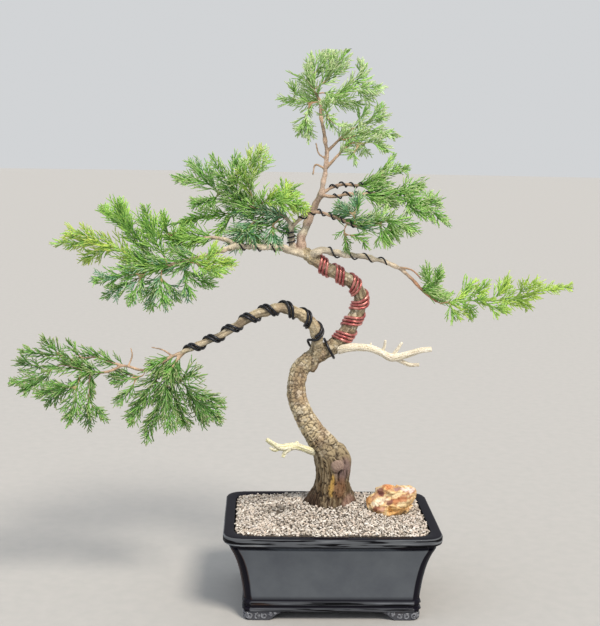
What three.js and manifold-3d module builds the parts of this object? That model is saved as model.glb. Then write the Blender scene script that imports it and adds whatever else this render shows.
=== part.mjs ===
// Savin juniper bonsai in its glazed pot, in millimetres, +Z up.
// Places are given from the middle of the pot's footprint on the table: +X right, +Y to the back.
import * as THREE from 'three';
import { mergeVertices } from 'three/addons/utils/BufferGeometryUtils.js';
import Module from 'manifold-3d';

const wasm = await Module();
wasm.setup();

// Driving dimensions
const lipX = 254; // outer width of the lip
const lipY = 192; // outer depth of the lip
const potHeight = 102.6;
const lipHeight = 9.6;
const lipWidth = 12.5;
const cornerCut = 19; // each corner is cut back this far
const cornerStep = 2.2; // and stands this much inside the panels
const frontBow = 2.5; // the long sides swell by this much in the middle
const footHeight = 11;
const footLength = 41;
const footDepth = 13;
const footInset = 0.3; // of the feet's outer faces from the body's lower edge
const footTaper = 1;
const bandHeight = 13; // of the proud band above the feet
const bandProud = 1.6;
const floorThick = 9;
const wallThick = 7;
const gap = 0.3; // between pieces that touch
const holeRadius = 11; // of the two drain holes
const holeX = 52;
const screenSize = 32;
const screenThick = 1.2;
const soilTop = 91;
const gravelTop = 101;
const moundHeight = 9.5; // the gravel rises this much at the trunk
const redWire = 1.6; // wire radii
const blackWire = 1.6;
const thinWire = 0.95;
const needleStep = 6; // along a shoot from one pair of branchlets to the next
const shootCore = 0.8; // half width of a shoot's core
const needleSlant = 0.68; // angle of a branchlet to its shoot, in radians
const shootLift = 4; // a shoot leaves its parent straight for this far
const needleRadius = 0.55; // room that a branchlet takes
const clear = 0.4; // between branchlets and all else

const colours = {
  glaze: 0x2b2a35,
  screen: 0x2f3a33,
  soil: 0x3d3026,
  gravel: 0xc1b4a6,
  rock: 0x8a5a44,
  bark: 0xb39a78,
  deadwood: 0xe9dcc0,
  paleDeadwood: 0xdedb9a,
  redWire: 0xb0524a,
  blackWire: 0x23252b,
  foliage: 0x5f8f3a,
};

const vec = (p) => new THREE.Vector3(p[0], p[1], p[2]);

// Seeded random numbers from 0 to 1.
function seeded(seed) {
  let state = seed;
  return () => {
    state = (state * 1664525 + 1013904223) % 4294967296;
    return state / 4294967296;
  };
}

// A closed surface put together from corners and faces.
class Facets {
  constructor() {
    this.points = [];
    this.faces = [];
  }

  point(v) {
    this.points.push(v.x, v.y, v.z);
    return this.points.length / 3 - 1;
  }

  triangle(a, b, c) {
    this.faces.push(a, b, c);
  }

  quad(a, b, c, d) {
    this.triangle(a, b, c);
    this.triangle(a, c, d);
  }

  // Joins two rings of equal count, the first one nearer the start.
  band(from, to) {
    for (let k = 0; k < from.length; k += 1) {
      const next = (k + 1) % from.length;
      this.quad(from[k], from[next], to[next], to[k]);
    }
  }

  cap(ring, outward) {
    for (let k = 1; k + 1 < ring.length; k += 1) {
      if (outward) this.triangle(ring[0], ring[k], ring[k + 1]);
      else this.triangle(ring[0], ring[k + 1], ring[k]);
    }
  }

  geometry() {
    const geometry = new THREE.BufferGeometry();
    geometry.setAttribute('position', new THREE.Float32BufferAttribute(this.points, 3));
    geometry.setIndex(this.faces);
    return geometry;
  }
}

// Solids for joining and cutting.
function solid(geometry) {
  const bare = geometry.clone();
  bare.deleteAttribute('normal');
  bare.deleteAttribute('uv');
  const merged = mergeVertices(bare, 1e-4);
  return new wasm.Manifold(new wasm.Mesh({
    numProp: 3,
    vertProperties: new Float32Array(merged.attributes.position.array),
    triVerts: new Uint32Array(merged.index.array),
  }));
}

function shell(manifold) {
  const mesh = manifold.getMesh();
  const geometry = new THREE.BufferGeometry();
  geometry.setAttribute('position', new THREE.BufferAttribute(mesh.vertProperties, 3));
  geometry.setIndex(new THREE.BufferAttribute(mesh.triVerts, 1));
  return geometry;
}

const group = new THREE.Group();

function add(name, geometry, color, roughness = 0.8, metalness = 0) {
  const mesh = new THREE.Mesh(geometry, new THREE.MeshStandardMaterial({ color, roughness, metalness }));
  mesh.name = name;
  group.add(mesh);
  return mesh;
}

// The pot
const quarterTurns = [[1, 1], [-1, 1], [-1, -1], [1, -1]];

// One level outline of the pot: straight sides, and corners cut round and set back by step.
function potOutline(facets, halfX, halfY, z, step, bow) {
  const cut = cornerCut;
  const round = (angle) => [
    halfX - cut + (cut - step) * Math.cos(angle),
    halfY - cut + (cut - step) * Math.sin(angle),
  ];
  const corner = [
    [halfX, halfY - cut - 1.5],
    [halfX - step, halfY - cut],
    round(Math.PI / 6),
    round(Math.PI / 3),
    [halfX - cut, halfY - step],
    [halfX - cut - 1.5, halfY],
    [0, halfY + bow],
  ];
  const ring = [];
  quarterTurns.forEach(([signX, signY]) => {
    const flipped = signX * signY < 0;
    const run = flipped ? [...corner].reverse() : corner;
    run.forEach(([x, y]) => {
      if (flipped && x === 0 && signX < 0 && signY > 0) return;
      if (flipped && x === 0 && signX > 0 && signY < 0) return;
      ring.push(facets.point(new THREE.Vector3(signX * x, signY * y, z)));
    });
  });
  return ring;
}

// Outer half width of the body, from the base band up to the cove under the lip.
const flare = [[24, 102.3], [48, 105.5], [67, 109.8], [79, 114.4], [89, 119.5]];
const sideRatio = 0.56; // the short sides flare by this much of the long sides' flare
const baseHalfX = 102.3;
const baseHalfY = 82.3;
const flareY = (halfX) => baseHalfY + (halfX - baseHalfX) * sideRatio;

function potBody() {
  const facets = new Facets();
  const rings = [];
  const level = (halfX, halfY, z, step, bow = 0) => {
    rings.push(potOutline(facets, halfX, halfY, z, step, bow));
  };
  const bandX = baseHalfX + bandProud;
  const bandY = baseHalfY + bandProud;
  level(bandX - 1, bandY - 1, footHeight, cornerStep);
  level(bandX, bandY, footHeight + 1.5, cornerStep);
  level(bandX, bandY, footHeight + bandHeight - 1.5, cornerStep);
  flare.forEach(([z, halfX]) => level(halfX, flareY(halfX), z, cornerStep, (frontBow * (z - 24)) / 66));
  const lipBottom = potHeight - lipHeight;
  level(lipX / 2 - 0.8, lipY / 2 - 0.8, lipBottom, 0.8, frontBow);
  level(lipX / 2, lipY / 2, lipBottom + 1.6, 0.8, frontBow);
  level(lipX / 2, lipY / 2, potHeight - 1.4, 0.8, frontBow);
  level(lipX / 2 - 1.4, lipY / 2 - 1.4, potHeight, 0.8, frontBow);
  const innerX = lipX / 2 - lipWidth;
  const innerY = lipY / 2 - lipWidth;
  level(innerX + 1, innerY + 1, potHeight, 0.8, frontBow);
  level(innerX, innerY, potHeight - 1.2, 0.8, frontBow);
  level(innerX - 1, innerY - 1, potHeight - 20, 0.8, frontBow);
  level(baseHalfX - wallThick, baseHalfY - wallThick, footHeight + floorThick, 0.8, frontBow);
  facets.cap(rings[0], false);
  for (let k = 1; k < rings.length; k += 1) facets.band(rings[k - 1], rings[k]);
  facets.cap(rings[rings.length - 1], true);
  return solid(facets.geometry());
}

// A foot's long face: flat on the table, with a hollow curve at its free end.
function footFace(length) {
  const shape = new THREE.Shape();
  shape.moveTo(0, 0);
  shape.lineTo(length - 9, 0);
  shape.quadraticCurveTo(length - 3, 0.5, length - 4, 4.5);
  shape.quadraticCurveTo(length - 4.5, 7.5, length, 8.5);
  shape.lineTo(length, footHeight + 1);
  shape.lineTo(0, footHeight + 1);
  return new THREE.ExtrudeGeometry(shape, { depth: footDepth, bevelEnabled: false, curveSegments: 2 });
}

// Each foot wraps a corner: one leg along the long side and one along the short side.
function foot(signX, signY) {
  const along = footFace(footLength);
  along.rotateX(Math.PI / 2);
  along.translate(0, footDepth, 0);
  const across = footFace(footLength * 0.8);
  across.rotateX(Math.PI / 2);
  across.rotateZ(Math.PI / 2);
  const corner = solid(along).add(solid(across));
  const turned = corner.getMesh();
  const place = new THREE.Matrix4().makeScale(-signX, -signY, 1);
  place.setPosition(signX * baseHalfX, signY * baseHalfY, 0);
  const geometry = new THREE.BufferGeometry();
  geometry.setAttribute('position', new THREE.BufferAttribute(turned.vertProperties, 3));
  geometry.setIndex(new THREE.BufferAttribute(turned.triVerts, 1));
  geometry.applyMatrix4(place);
  if (signX * signY < 0) geometry.index.array.reverse();
  return solid(geometry);
}

function drainHole(x) {
  const geometry = new THREE.CylinderGeometry(holeRadius, holeRadius, 30, 14);
  geometry.rotateX(Math.PI / 2);
  geometry.translate(x, 0, footHeight + 5);
  return solid(geometry);
}

// The feet follow the pot's cut corners, and taper in towards the table.
function footprint() {
  const facets = new Facets();
  const ring = (inset, z) => potOutline(facets, baseHalfX - inset, baseHalfY - inset, z, 0.8, 0);
  const low = ring(footInset + footTaper, 0);
  const high = ring(footInset, footHeight + 2);
  facets.cap(low, false);
  facets.band(low, high);
  facets.cap(high, true);
  return solid(facets.geometry());
}

let pot = potBody();
quarterTurns.forEach(([signX, signY]) => {
  pot = pot.add(foot(signX, signY).intersect(footprint()));
});
[-holeX, holeX].forEach((x) => {
  pot = pot.subtract(drainHole(x));
});
add('pot', shell(pot), colours.glaze, 0.25);

// The plastic screens over the drain holes
const floorTop = footHeight + floorThick;

function drainScreen() {
  const box = (x, y, width, height) => {
    const geometry = new THREE.BoxGeometry(width, width, height);
    geometry.translate(x, y, screenThick / 2);
    return solid(geometry);
  };
  let screen = box(0, 0, screenSize, screenThick);
  [-5, 5].forEach((x) => {
    [-5, 5].forEach((y) => {
      screen = screen.subtract(box(x, y, 8, 3 * screenThick));
    });
  });
  return shell(screen);
}

add('drain_screen_left', drainScreen(), colours.screen).position.set(-holeX, 0, floorTop + gap);
add('drain_screen_right', drainScreen(), colours.screen).position.set(holeX, 0, floorTop + gap);

// Wood: each limb is a list of [x, y, z, radius], followed by a smooth curve.
const limbs = {
  trunk: [
    [3, 31, 72, 15], [3, 31, 86, 22], [2, 30, 98, 28], [2, 30, 112, 26], [3, 29, 124, 22], [4, 29, 137, 20],
    [4, 28, 150, 20], [2, 28, 162, 20], [-5, 26, 178, 17.3], [-18, 25, 196, 13.7], [-31, 24, 217, 12.2],
    [-40, 23, 238, 11.5], [-42, 22, 257, 11], [-38, 22, 276, 10.6], [-27, 23, 288, 10.3],
  ],
  bend: [
    [-38, 22, 276, 9], [-27, 23, 288, 10.2], [-10, 25, 298, 9.8], [6, 27, 307, 9.3], [17, 28, 320, 9.1],
    [24, 28, 333, 8.8], [31, 27, 349, 8.2], [34, 25, 362, 7.8], [30, 23, 375, 7.5], [20, 22, 385, 7.4],
    [6, 22, 393, 7.3], [-9, 22, 401, 7.3], [-22, 22, 410, 7.4], [-34, 22, 419, 7.4],
  ],
  leader: [
    [-30, 22, 414, 6.5], [-39, 22, 425, 6], [-38, 22, 438, 5], [-32, 22, 452, 4.7], [-27, 21, 465, 4.3],
    [-21, 20, 479, 3.9], [-16, 19, 490, 3.7], [-14, 18, 505, 2.8], [-11, 16, 523, 2.5], [-11, 15, 540, 2.4],
    [-15, 13, 562, 2.1], [-19, 12, 580, 1.9], [-20, 11, 596, 1.7], [-27, 8, 609, 1.2], [-37, 4, 622, 0.9],
  ],
  low: [
    [-27, 23, 276, 7], [-22, 22, 287, 7.8], [-19, 18, 301, 7.5], [-18, 13, 315, 7.1], [-22, 8, 330, 6.7],
    [-32, 3, 342, 6.5], [-46, -1, 350, 6.3], [-62, -4, 355, 6.1], [-84, -8, 350, 5.6], [-106, -12, 340, 4.9],
    [-127, -16, 327, 4.3], [-149, -19, 316, 3.8], [-168, -22, 308, 3.3], [-178, -24, 303, 3],
  ],
  left: [
    [-32, 21, 416, 5], [-49, 16, 421, 4.4], [-68, 10, 425, 3.9], [-92, 4, 426, 3.7], [-113, -1, 427, 3.4],
    [-126, -5, 425, 3],
  ],
  leftUp: [
    [-113, -1, 427, 2.8], [-126, 2, 433, 2.6], [-143, 5, 436, 2.2], [-162, 8, 435, 1.9], [-185, 10, 430, 1.5],
  ],
  leftLow: [
    [-120, -3, 426, 2.8], [-147, -15, 418, 2.1], [-176, -22, 411, 1.8], [-194, -26, 406, 1.6],
    [-210, -28, 405, 1.5], [-223, -30, 407, 1.3],
  ],
  right: [
    [-29, 20, 415, 5], [-15, 14, 422, 4.4], [3, 10, 419, 3.7], [23, 8, 417, 3.2], [44, 7, 414, 2.9],
    [60, 7, 410, 2.6], [77, 8, 403, 2.4], [92, 10, 391, 2], [109, 12, 374, 1.7], [125, 14, 362, 1.4],
  ],
  riser: [
    [-42, 22, 418, 4.2], [-50, 21, 426, 3.8], [-51, 20, 438, 3.2], [-51, 20, 450, 2.9], [-60, 22, 461, 2.5],
    [-77, 24, 466, 2.2], [-93, 25, 469, 2], [-104, 26, 474, 1.7], [-118, 26, 480, 1.5],
  ],
  eastLow: [
    [-51, 20, 449, 2.4], [-45, 13, 456, 2.3], [-38, 9, 462, 2.2], [-30, 6, 467, 2.1], [-18, 5, 468, 2],
    [-5, 3, 464, 1.9], [13, 0, 458, 1.8], [25, -3, 453, 1.7], [38, -4, 452, 1.5],
  ],
  eastUpA: [
    [-17, 19, 489, 2.2], [-2, 25, 497, 2], [10, 28, 500, 1.9], [26, 31, 499, 1.7], [43, 30, 502, 1.5],
  ],
  eastUpB: [
    [-16, 18, 487, 2.2], [1, 14, 486, 2], [14, 16, 489, 1.9], [31, 18, 489, 1.8], [46, 20, 490, 1.6],
    [61, 20, 489, 1.4],
  ],
  crownLow: [[-11, 16, 519, 1.9], [1, 14, 533, 1.6], [13, 12, 546, 1.3]],
  crownHigh: [[-12, 16, 537, 1.9], [0, 18, 549, 1.6], [11, 20, 560, 1.3]],
  lowForkA: [[-172, -23, 306, 2.3], [-187, -25, 300, 2], [-198, -26, 294, 1.7], [-207, -27, 288, 1.6]],
  lowForkB: [[-175, -24, 304, 2.2], [-182, -28, 297, 1.8], [-189, -31, 286, 1.4]],
  lowWest: [
    [-204, -27, 290, 1.7], [-222, -28, 283, 1.6], [-240, -27, 287, 1.5], [-252, -25, 289, 1.5],
    [-267, -23, 294, 1.4], [-278, -22, 297, 1.3], [-290, -20, 295, 1.1],
  ],
  lowFar: [
    [-247, -26, 288, 1.5], [-264, -30, 281, 1.5], [-278, -32, 281, 1.5], [-293, -33, 285, 1.4],
    [-311, -33, 289, 1.2],
  ],
  lowHang: [[-282, -32, 282, 1.3], [-284, -34, 272, 1.2], [-284, -35, 262, 1.1]],
};

// Bumps on the low trunk: root flare, shoulder over the old cut, and the round callus in front.
const swellings = [
  [[-6, 30, 126, 12], [-14, 31, 112, 13], [-24, 32, 101, 10], [-31, 34, 93, 6]],
  [[14, 32, 128, 13], [20, 36, 113, 13], [27, 42, 101, 10], [34, 48, 92, 6]],
  [[2, 24, 126, 12], [0, 16, 110, 12], [-2, 10, 98, 9]],
  [[4, 30, 182, 6], [10, 29, 174, 11], [15, 28, 162, 12], [15, 28, 146, 11], [12, 29, 128, 11]],
  [[6, 24, 158, 9.5], [8, 14, 160, 9.6], [9, 7, 161, 8.6], [9, 4, 161, 5.4]],
];

// Short bare twigs that carry no foliage.
const bareTwigs = [
  [[-27, 12, 511, 1], [-24, 13, 523, 1.1], [-13, 17, 519, 1.4]],
  [[-24, 12, 549, 0.9], [-20, 13, 536, 1], [-11, 15, 530, 1.3]],
  [[73, 8, 404, 1.5], [92, 6, 401, 1.1], [104, 6, 391, 0.9]],
  [[-188, -25, 299, 1.3], [-200, -22, 306, 1], [-214, -20, 309, 0.8]],
  [[-240, -27, 287, 1.2], [-236, -22, 299, 1], [-238, -18, 308, 0.8]],
];

function sidesFor(radius) {
  if (radius > 15) return 12;
  if (radius > 9) return 8;
  if (radius > 4.5) return 6;
  return radius > 2.5 ? 5 : 4;
}

// A limb's centre line, its radius and a frame round it whose first direction faces the back.
class Limb {
  constructor(points) {
    this.points = points;
    this.curve = new THREE.CatmullRomCurve3(points.map(vec), false, 'centripetal');
    this.curve.arcLengthDivisions = 400;
    this.length = this.curve.getLength();
  }

  at(part) {
    const along = this.curve.getUtoTmapping(part);
    return { ...this.station(along), tangent: this.curve.getTangent(along) };
  }

  station(along) {
    const place = along * (this.points.length - 1);
    const below = Math.min(Math.floor(place), this.points.length - 2);
    const share = place - below;
    const radius = this.points[below][3] * (1 - share) + this.points[below + 1][3] * share;
    return { centre: this.curve.getPoint(along), radius };
  }

  frame(part) {
    const { centre, radius, tangent } = this.at(part);
    const back = new THREE.Vector3(0, 1, 0);
    back.addScaledVector(tangent, -back.dot(tangent)).normalize();
    const side = new THREE.Vector3().crossVectors(tangent, back);
    return { centre, radius, tangent, back, side };
  }

  // A closed tube with a ring at each point and some between.
  loft(between = 1, fluting = 0) {
    const facets = new Facets();
    const sides = sidesFor(Math.max(...this.points.map((p) => p[3])));
    const steps = (this.points.length - 1) * between;
    let e1 = new THREE.Vector3(0, 1, 0);
    let previous = null;
    for (let i = 0; i <= steps; i += 1) {
      const { centre, radius } = this.station(i / steps);
      const tangent = this.curve.getTangent(i / steps);
      e1.addScaledVector(tangent, -e1.dot(tangent)).normalize();
      const e2 = new THREE.Vector3().crossVectors(tangent, e1);
      const ring = [];
      for (let k = 0; k < sides; k += 1) {
        const angle = (2 * Math.PI * k) / sides;
        const r = radius * (1 + fluting * Math.cos(3 * angle + i * 0.5));
        const offset = e1.clone().multiplyScalar(r * Math.cos(angle));
        offset.addScaledVector(e2, r * Math.sin(angle));
        ring.push(facets.point(offset.add(centre)));
      }
      if (previous) facets.band(previous, ring);
      else facets.cap(ring, false);
      previous = ring;
      e1 = e1.clone();
    }
    facets.cap(previous, true);
    return facets.geometry();
  }
}

const limb = Object.fromEntries(Object.entries(limbs).map(([name, points]) => [name, new Limb(points)]));
const wiredLimbs = ['bend', 'low', 'riser']; // with rings close enough to follow their wires
let wood = solid(limb.trunk.loft(1, 0.05));
Object.entries(limb).forEach(([name, piece]) => {
  if (name !== 'trunk') wood = wood.add(solid(piece.loft(wiredLimbs.includes(name) ? 2 : 1)));
});
[...swellings, ...bareTwigs].forEach((points) => {
  wood = wood.add(solid(new Limb(points).loft()));
});
add('trunk_and_branches', shell(wood), colours.bark, 0.85);

// Deadwood: the barkless stubs, each with its broken side twigs. They start 0.3 mm off the live wood.
function deadwood(parts, liveWood) {
  let joined = solid(new Limb(parts[0]).loft());
  parts.slice(1).forEach((points) => {
    joined = joined.add(solid(new Limb(points).loft()));
  });
  return joined.subtract(liveWood);
}

// The live wood near a jin, grown by the gap, which the jin is cut back from.
function grown(piece, extra) {
  const points = piece.points.map(([x, y, z, r]) => [x, y, z, r + extra]);
  const beyond = (end, before) => {
    const step = vec(end).sub(vec(before)).setLength(extra + 0.3);
    return [end[0] + step.x, end[1] + step.y, end[2] + step.z, end[3]];
  };
  const last = points.length - 1;
  return solid(new Limb([
    beyond(points[0], points[1]),
    ...points,
    beyond(points[last], points[last - 1]),
  ]).loft(1, 0));
}

// How far each jin is cut back from its limb's smooth line, which leaves about the common gap
const jinGap = { right: 0.8, left: 0.5 };
const jinRight = deadwood([
  [[8, 24, 301, 6], [18, 20, 304, 5.5], [31, 18, 305, 4.8], [47, 16, 304, 4.4], [60, 14, 299, 4.3],
    [72, 12, 294, 5], [87, 10, 297, 4.3], [103, 7, 303, 3.5], [119, 4, 306, 3.1]],
  [[74, 12, 295, 3.8], [85, 13, 289, 2.8], [94, 14, 285, 2.5], [106, 15, 285, 2.3]],
  [[60, 14, 299, 1.8], [63, 13, 307, 1.4], [64, 12, 315, 1]],
  [[74, 12, 297, 2], [79, 11, 305, 1.6], [84, 10, 313, 1.1]],
  [[46, 16, 304, 2], [47, 16, 311, 1.3]],
], grown(limb.bend, jinGap.right));
const jinLeft = deadwood([
  [[-10, 24, 173, 5], [-20, 20, 175, 4.8], [-29, 10, 180, 4.2], [-43, 2, 186, 4.2], [-53, -3, 186, 4.6],
    [-62, -8, 187, 4.1], [-70, -11, 192, 3.2], [-78, -14, 198, 2.4]],
  [[-50, -3, 184, 3.4], [-55, -4, 180, 3], [-58, -5, 174, 2.2]],
  [[-62, -8, 186, 3], [-68, -10, 184, 2.2], [-74, -12, 187, 1.4]],
  [[-40, 4, 186, 3], [-41, 3, 192, 1.8]],
], grown(limb.trunk, jinGap.left));
add('jin_right', shell(jinRight), colours.deadwood, 0.7);
add('jin_left', shell(jinLeft), colours.paleDeadwood, 0.7);

// Wires: strands that run side by side round a limb, right-handed towards its tip.
function winding({ on, from, to, turns, radius, start, strands = 1, strand = 0, lift = 0 }) {
  const carrier = limb[on];
  const perTurn = radius < 1 ? 7 : 8;
  const steps = Math.ceil(turns * perTurn);
  const points = [];
  for (let i = 0; i <= steps; i += 1) {
    const share = i / steps;
    const pitch = ((to - from) * carrier.length) / turns;
    const beside = (strand - (strands - 1) / 2) * (2 * radius + gap + 0.7);
    const lean = Math.cos(Math.atan2(pitch, 2 * Math.PI * (carrier.at(from).radius + radius)));
    const part = Math.min(1, Math.max(0, from + (to - from) * share + beside / lean / carrier.length));
    const { centre, radius: inner, back, side } = carrier.frame(part);
    const angle = start + 2 * Math.PI * turns * share;
    const reach = (inner + radius + gap + lift) / Math.cos(Math.PI / perTurn);
    const offset = back.clone().multiplyScalar(Math.cos(angle) * reach);
    points.push(offset.addScaledVector(side, Math.sin(angle) * reach).add(centre));
  }
  return points;
}

function wire(name, points, radius, sides, color, metalness) {
  const section = new THREE.Shape();
  for (let k = 0; k < sides; k += 1) {
    const angle = (2 * Math.PI * k) / sides;
    const corner = [radius * Math.cos(angle), radius * Math.sin(angle)];
    if (k === 0) section.moveTo(...corner);
    else section.lineTo(...corner);
  }
  const path = new THREE.CatmullRomCurve3(points, false, 'centripetal');
  const geometry = new THREE.ExtrudeGeometry(section, {
    steps: points.length - 1,
    extrudePath: path,
    bevelEnabled: false,
  });
  add(name, geometry, color, 0.35, metalness);
  return points;
}

const back = 0;
const front = Math.PI;
const wireRuns = [];

function windSet(names, run, radius, color, metalness, sides = 4) {
  names.forEach((name, strand) => {
    const lead = strand === 0 && run.lead ? run.lead.map(vec) : [];
    const points = [...lead, ...winding({ ...run, radius, strands: names.length, strand })];
    wireRuns.push({ points: wire(name, points, radius, sides, color, metalness), radius });
  });
}

windSet(
  ['red_wire_1', 'red_wire_2', 'red_wire_3'],
  { on: 'bend', from: 0.3, to: 0.9, turns: 5.5, start: 1.7 },
  redWire, colours.redWire, 0.6,
);
// One black strand first loops the trunk beside the fork, then passes behind it.
windSet(
  ['black_wire_1', 'black_wire_2'],
  {
    on: 'low', from: 0.2, to: 0.975, turns: 7.5, start: front - 0.3,
    lead: [
      [-3, 38.4, 302], [-7, 34.5, 309.8], [-9, 26, 313.6], [-7, 17, 310], [-3, 13.4, 302], [1.5, 17.2, 294.3],
      [3, 26, 290.4], [0, 35, 293], [-8, 38.4, 296.5], [-18, 37, 300], [-25, 29, 304], [-28, 21, 309],
      [-29, 14, 314],
    ],
  },
  blackWire, colours.blackWire, 0.4,
);
windSet(['thin_wire_left'], { on: 'left', from: 0.36, to: 0.86, turns: 2.6, start: back },
  thinWire, colours.blackWire, 0.4, 3);
windSet(['thin_wire_right'], { on: 'right', from: 0.12, to: 0.55, turns: 3.6, start: back },
  thinWire, colours.blackWire, 0.4, 3);
windSet(['thin_wire_riser'], { on: 'riser', from: 0.13, to: 0.26, turns: 2.6, start: back },
  thinWire, colours.blackWire, 0.4, 3);
windSet(['thin_wire_front_twig'], { on: 'eastLow', from: 0.14, to: 0.93, turns: 6.5, start: back },
  thinWire, colours.blackWire, 0.4, 3);
windSet(['thin_wire_rear_twig'], { on: 'eastUpA', from: 0.22, to: 0.95, turns: 4, start: back },
  thinWire, colours.blackWire, 0.4, 3);
windSet(['thin_wire_mid_twig'], { on: 'eastUpB', from: 0.16, to: 0.93, turns: 4.5, start: back },
  thinWire, colours.blackWire, 0.4, 3);

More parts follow.
